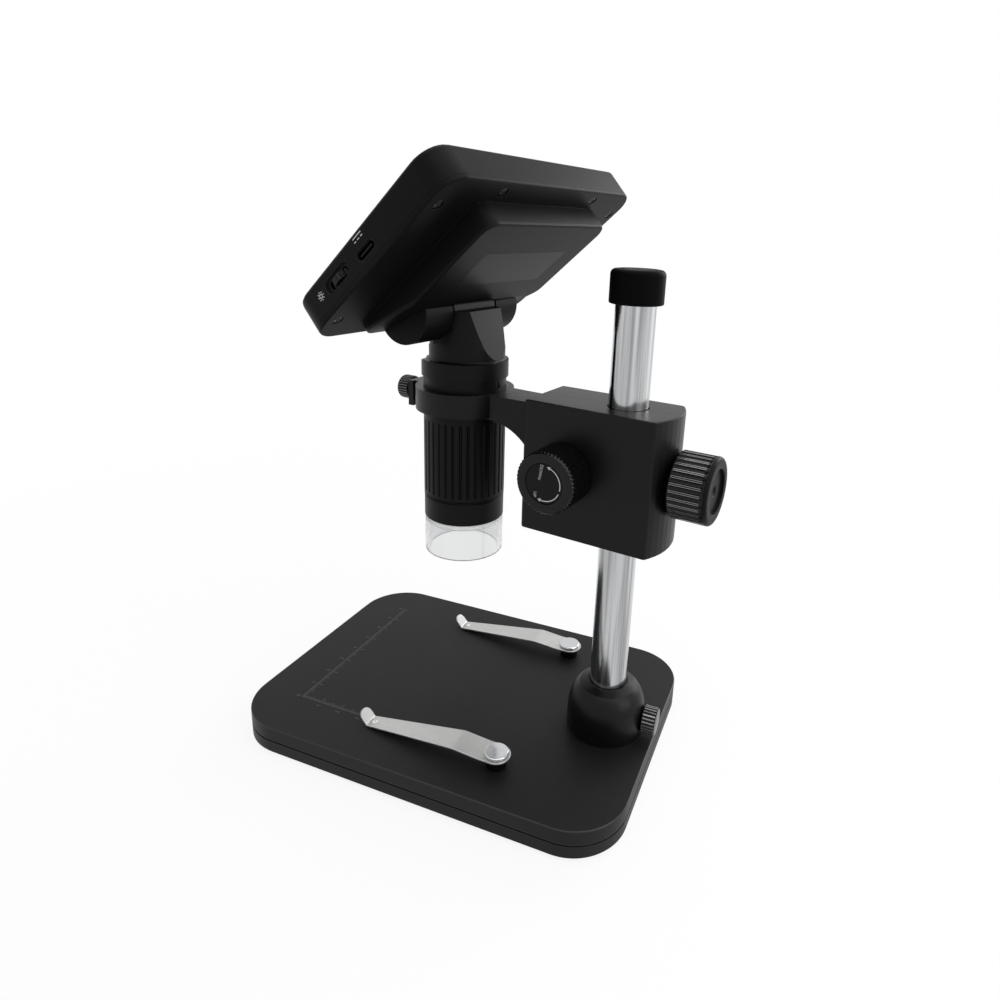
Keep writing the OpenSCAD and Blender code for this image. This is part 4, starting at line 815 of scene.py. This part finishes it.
def clearCap():
    # a clear tube with a spigot above; fine thread rings of depth * sin(pi t)^2 run round the inside of its mouth
    low, high = nodeBox("clear_cap", scopeFrame)
    radius, bottom, top = high[0], low[2], high[2]
    shoulder = nodeBox("nose_ring", scopeFrame)[0][2] - fit
    spigot, inner = radius - clear["spigot"], radius - clear["wall"]
    outer = roundedLine([(inner, bottom, 0.3), (radius, bottom, 0.4), (radius, shoulder, 0.25), (spigot, shoulder),
                         (spigot, top, 0.1), (inner, top, 0.1)], 4)
    turns = np.linspace(0, clear["threads"], clear["threads"] * 8 + 1)
    wave = clear["threadDepth"] * np.sin(np.pi * turns) ** 2
    threads = np.column_stack([inner + wave, shoulder - clear["threadStart"] - turns * clear["threadPitch"]])
    return lathe(np.concatenate([outer, threads]), 128, ring=True)


def lampDomes():
    # a low dome on each lamp of the board, seen from below through the clear cap: radius r sin s, height -h cos s
    radius, height = lamp["dome"]
    z = nodeBox("led_board", scopeFrame)[0][2]
    share = np.linspace(0, np.pi / 2, 7)
    profile = np.column_stack([radius * np.sin(share), -height * np.cos(share)])
    dome = lathe(profile.tolist() + [(0, 0)], 24)
    turns = np.arange(lamp["count"]) * 360 / lamp["count"]
    return [moved(dome, (x, y, z)) for x, y in lamp["ring"] * ray(turns)]


for node, (width, angle) in barrelEdges.items():
    softCopy(node, "barrel", width, angle)
addPiece("focusRingGrooved", [focusRing()], scopeFrame, "barrel", "focus_ring")
addPiece("clearCapTurned", [clearCap()], scopeFrame, "clearAcrylic", "clear_cap", sharp=50)
addPiece("lampPhosphor", lampDomes(), scopeFrame, "phosphor", "led_board", stands=False)
low, high = nodeBox("snap_button", scopeFrame)
buttonFrame = turnedFrame(scopeFrame, ((low + high)[0] / 2, high[1], (low + high)[2] / 2), (-1, 0, 0), (0, -1, 0))
radius, length = (high[0] - low[0]) / 2, high[1] - low[1]
button = lathe(roundedLine([(0, 0), (radius, 0, 0.1), (radius, length - snap["edge"], 0.5),
                            (radius * snap["top"], length, 1.2), (0, length)], 6), 64)
addPiece("snapButtonDomed", [button], buttonFrame, "knob", "snap_button", sharp=50)
print("barrel done")


# Head: covers, glass, keys, dimmer wheel and the small printed signs

coverEdge = 0.3
screen = {"edge": 0.25, "corner": 2, "display": (95.04, 53.86, 1.2), "displayAt": (-0.02, 0.015)}
key = {"edge": 0.5, "flange": 0.8}
dimmer = {"bore": 1.05, "edge": 0.35, "flutes": 26, "groove": (0.42, 0.4)}
film = {"size": (54, 18, 1.5), "up": 34.3, "back": -6.24, "stands": (-0.05, 0.03)}
signs = {"line": 0.32, "onRing": (1.3, 125, 415), "onBar": (0.4, 1.9), "arrow": 1.5, "arrowBack": 0.2,
         "okRing": 1.35, "okDot": 0.5, "listBar": 1.4, "listStep": 0.9}
sun = {"at": (0.5, 10.3), "radius": 0.68, "ray": (1.65, 2.4)}
power = {"at": (27.3, 13.6), "up": 0.6, "bar": 2.4, "dash": 0.55, "dashes": (-1.85, 0, 1.85)}


def keyCap(low, high):  # a turned section: a flange under a stem with a rounded rim
    radius, height, flange = (high[0] - low[0]) / 2, high[2] - low[2], key["flange"]
    stem = radius - flange
    cap = lathe(roundedLine([(0, 0), (radius, 0, 0.1), (radius, flange, 0.1), (stem, flange),
                             (stem, height, key["edge"]), (0, height)], 5), 64)
    return moved(cap, (*(low + high)[:2] / 2, low[2]))


def keySigns(node, centre, z):  # plain signs: on, back, confirm, forward, list
    lines, areas = [], []
    if node == "key_power":
        lines = [arcLine(*signs["onRing"], 30), [(0, y) for y in signs["onBar"]]]
    elif node == "key_left":
        areas = [triangle((signs["arrowBack"], 0), signs["arrow"], 180)]
    elif node == "key_right":
        areas = [triangle((-signs["arrowBack"], 0), signs["arrow"], 0)]
    elif node == "key_ok":
        lines, areas = [arcLine(signs["okRing"], 0, 360, 36)[:-1]], [arcLine(signs["okDot"], 0, 345, 23)]
    else:
        bar, step = signs["listBar"], signs["listStep"]
        lines = [[(-bar, y), (bar, y)] for y in (-step, 0, step)]
    shapes = [printedLine(line, signs["line"], z) for line in lines] + [printedArea(area, z) for area in areas]
    return [moved(shape, (centre[0], centre[1], 0)) for shape in shapes]


def sideSigns():
    # on the right wall: a sun beside the dimmer and the direct current sign beside the power port
    radius, up, bar, dash = sun["radius"], power["up"], power["bar"], power["dash"]
    sunLines = [arcLine(radius, 0, 350, 30)]
    sunLines += [[way * radius * reach for reach in sun["ray"]] for way in ray(np.arange(8) * 45)]
    powerLines = [[(-bar, up), (bar, up)]] + [[(x - dash, -up), (x + dash, -up)] for x in power["dashes"]]
    return [moved(printedLine(line, signs["line"], 0), (*at, 0))
            for lines, at in ((sunLines, sun["at"]), (powerLines, power["at"])) for line in lines]


# the covers' rounded edges take the lighter edge look: a painted highlight along them
for node in ("rear_cover", "front_frame"):
    softCopy(node, ["casing", "paintedHighlightEdge"], coverEdge)
low, high = nodeBox("screen_glass", headFrame)
size, middle, top, e = high - low, (low + high) / 2, high[2], screen["edge"]
edge = [(0, low[2]), (0, top - e), (e * 0.3, top - e * 0.3), (e, top)]
glass = plate(size[0], size[1], screen["corner"], edge, middle[:2])
addPiece("coverGlass", [glass], headFrame, "coverGlass", "screen_glass")
window = plate(*screen["display"], [(0, top + height) for height in screen["displayAt"]], middle[:2])
addPiece("displayWindow", [window], headFrame, "display", "screen_glass", stands=False)
for node in ("key_power", "key_left", "key_ok", "key_right", "key_menu"):
    low, high = nodeBox(node, headFrame)
    addPiece(node + "_cap", [keyCap(low, high)], headFrame, "knob", node, sharp=50)
    addPiece(node + "_sign", keySigns(node, (low + high) / 2, high[2]), headFrame, "whiteInk", node, stands=False)
low, high = nodeBox("dimmer_wheel", headFrame)
radius, bore, e = (high[1] - low[1]) / 2, dimmer["bore"], dimmer["edge"]
rim = roundedLine([(bore, low[2]), (radius, low[2], e), (radius, high[2], e), (bore, high[2])], 4)
wheel = moved(fluted(rim, radius, dimmer["flutes"], dimmer["groove"], ring=True), (*(low + high)[:2] / 2, 0))
addPiece("dimmerWheelRibbed", [wheel], headFrame, "knob", "dimmer_wheel")
wall = nodeBox("front_frame", headFrame)[1][0]
sideFrame = turnedFrame(headFrame, (wall, 0, 0), (0, 1, 0), (1, 0, 0))
addPiece("sideSigns", sideSigns(), sideFrame, "whiteInk", "front_frame", stands=False)
rearFrame = turnedFrame(headFrame, (0, film["up"], film["back"]), (-1, 0, 0), (0, 0, -1))
ratingPlate = plate(*film["size"], [(0, height) for height in film["stands"]])
addPiece("bareRatingPlate", [ratingPlate], rearFrame, "film", "rear_cover", stands=False)
print("head done")


# Floor, light and camera

studio = {"floor": 3.0, "floorColour": "#f2f2f2", "floorWhite": 0.88, "whiteFrom": 0.15, "whiteTo": 0.5, "soft": 0.4,
          "aim": (0, 0, 0.1),
          "lamps": {"topLight": ((0.0, 0.2, 1.1), 1.4, 9.0), "sideLight": ((0.2, 1.1, 0.6), 0.7, 4.0),
                    "farLight": ((-1.0, 0.55, 0.5), 0.7, 6.0)}}  # place, size in metres, watts
view = {"place": (0.24867, 0.12868, 0.21764), "azimuth": 110.688, "elevation": 16.705, "roll": 2.608,
        "lens": 25.74, "shift": (-0.05607, -0.06676)}


def backgroundRays(tree):  # 1 for the rays that see the background: camera, transmission and glossy
    path = addNode(tree, "LightPath")
    clear = addNode(tree, "Math", {"operation": "MAXIMUM"},
                    {0: path.outputs["Is Camera Ray"], 1: path.outputs["Is Transmission Ray"]})
    return addNode(tree, "Math", {"operation": "MAXIMUM"},
                   {0: clear.outputs[0], 1: path.outputs["Is Glossy Ray"]}).outputs[0]


def addFloor():
    # near the object the floor is partly a matte surface that takes its shadow, and further out it turns plain white
    half = studio["floor"]
    mesh = bpy.data.meshes.new("floor")
    mesh.from_pydata([(-half, -half, 0), (half, -half, 0), (half, half, 0), (-half, half, 0)], [], [(0, 1, 2, 3)])
    floor = bpy.data.objects.new("floor", mesh)
    bpy.context.scene.collection.objects.link(floor)
    material, tree = newMaterial("paleFloor")
    matte = addNode(tree, "BsdfDiffuse", {"Color": linear(studio["floorColour"])})
    white = addNode(tree, "Emission", {"Color": (1, 1, 1, 1), "Strength": 1.0})
    place = addNode(tree, "TexCoord")
    away = addNode(tree, "VectorMath", {"operation": "LENGTH"}, {0: place.outputs["Object"]})
    whiteness = addNode(tree, "MapRange", {"From Min": studio["whiteFrom"], "From Max": studio["whiteTo"],
                                           "To Min": studio["floorWhite"], "To Max": 1.0},
                        {"Value": away.outputs["Value"]})
    share = addNode(tree, "Math", {"operation": "MULTIPLY"},
                    {0: backgroundRays(tree), 1: whiteness.outputs["Result"]})
    mixed = addNode(tree, "MixShader", {}, {0: share.outputs[0], 1: matte.outputs[0], 2: white.outputs[0]})
    addNode(tree, "OutputMaterial", {}, {"Surface": mixed.outputs[0]})
    mesh.materials.append(material)


def addWorld():
    world = bpy.data.worlds.new("studio")
    bpy.context.scene.world = world
    world.use_nodes = True
    tree = world.node_tree
    tree.nodes.clear()
    soft = addNode(tree, "Background", {"Color": (1, 1, 1, 1), "Strength": studio["soft"]})
    white = addNode(tree, "Background", {"Color": (1, 1, 1, 1), "Strength": 1.0})
    mixed = addNode(tree, "MixShader", {}, {0: backgroundRays(tree), 1: soft.outputs[0], 2: white.outputs[0]})
    addNode(tree, "OutputWorld", {}, {"Surface": mixed.outputs[0]})


def addLamp(name, place, size, power):
    lamp = bpy.data.lights.new(name, "AREA")
    lamp.shape, lamp.size, lamp.energy = "SQUARE", size, power
    holder = bpy.data.objects.new(name, lamp)
    holder.location = place
    holder.rotation_euler = (Vector(studio["aim"]) - Vector(place)).to_track_quat("-Z", "Y").to_euler()
    bpy.context.scene.collection.objects.link(holder)


def addCamera():
    # back points from the object to the camera; right and up are turned about it by the roll
    azimuth, elevation, roll = np.radians([view["azimuth"], view["elevation"], view["roll"]])
    back = np.array([np.sin(azimuth) * np.cos(elevation), -np.cos(azimuth) * np.cos(elevation), np.sin(elevation)])
    right = np.array([np.cos(azimuth), np.sin(azimuth), 0])
    up = np.cross(back, right)
    axes = np.array([np.cos(roll) * right + np.sin(roll) * up, np.cos(roll) * up - np.sin(roll) * right, back])
    camera = bpy.data.cameras.new("camera")
    camera.lens, camera.sensor_width = view["lens"], 36
    camera.shift_x, camera.shift_y = view["shift"]
    camera.clip_start, camera.clip_end = 0.01, 20
    holder = bpy.data.objects.new("camera", camera)
    holder.matrix_world = Matrix.Translation(view["place"]) @ Matrix(axes.T.tolist()).to_4x4()
    bpy.context.scene.collection.objects.link(holder)
    bpy.context.scene.camera = holder


addFloor()
addWorld()
for name, (place, size, power) in studio["lamps"].items():
    addLamp(name, place, size, power)
addCamera()
bpy.context.scene.view_settings.view_transform = "Standard"
print("floor, light and camera done")
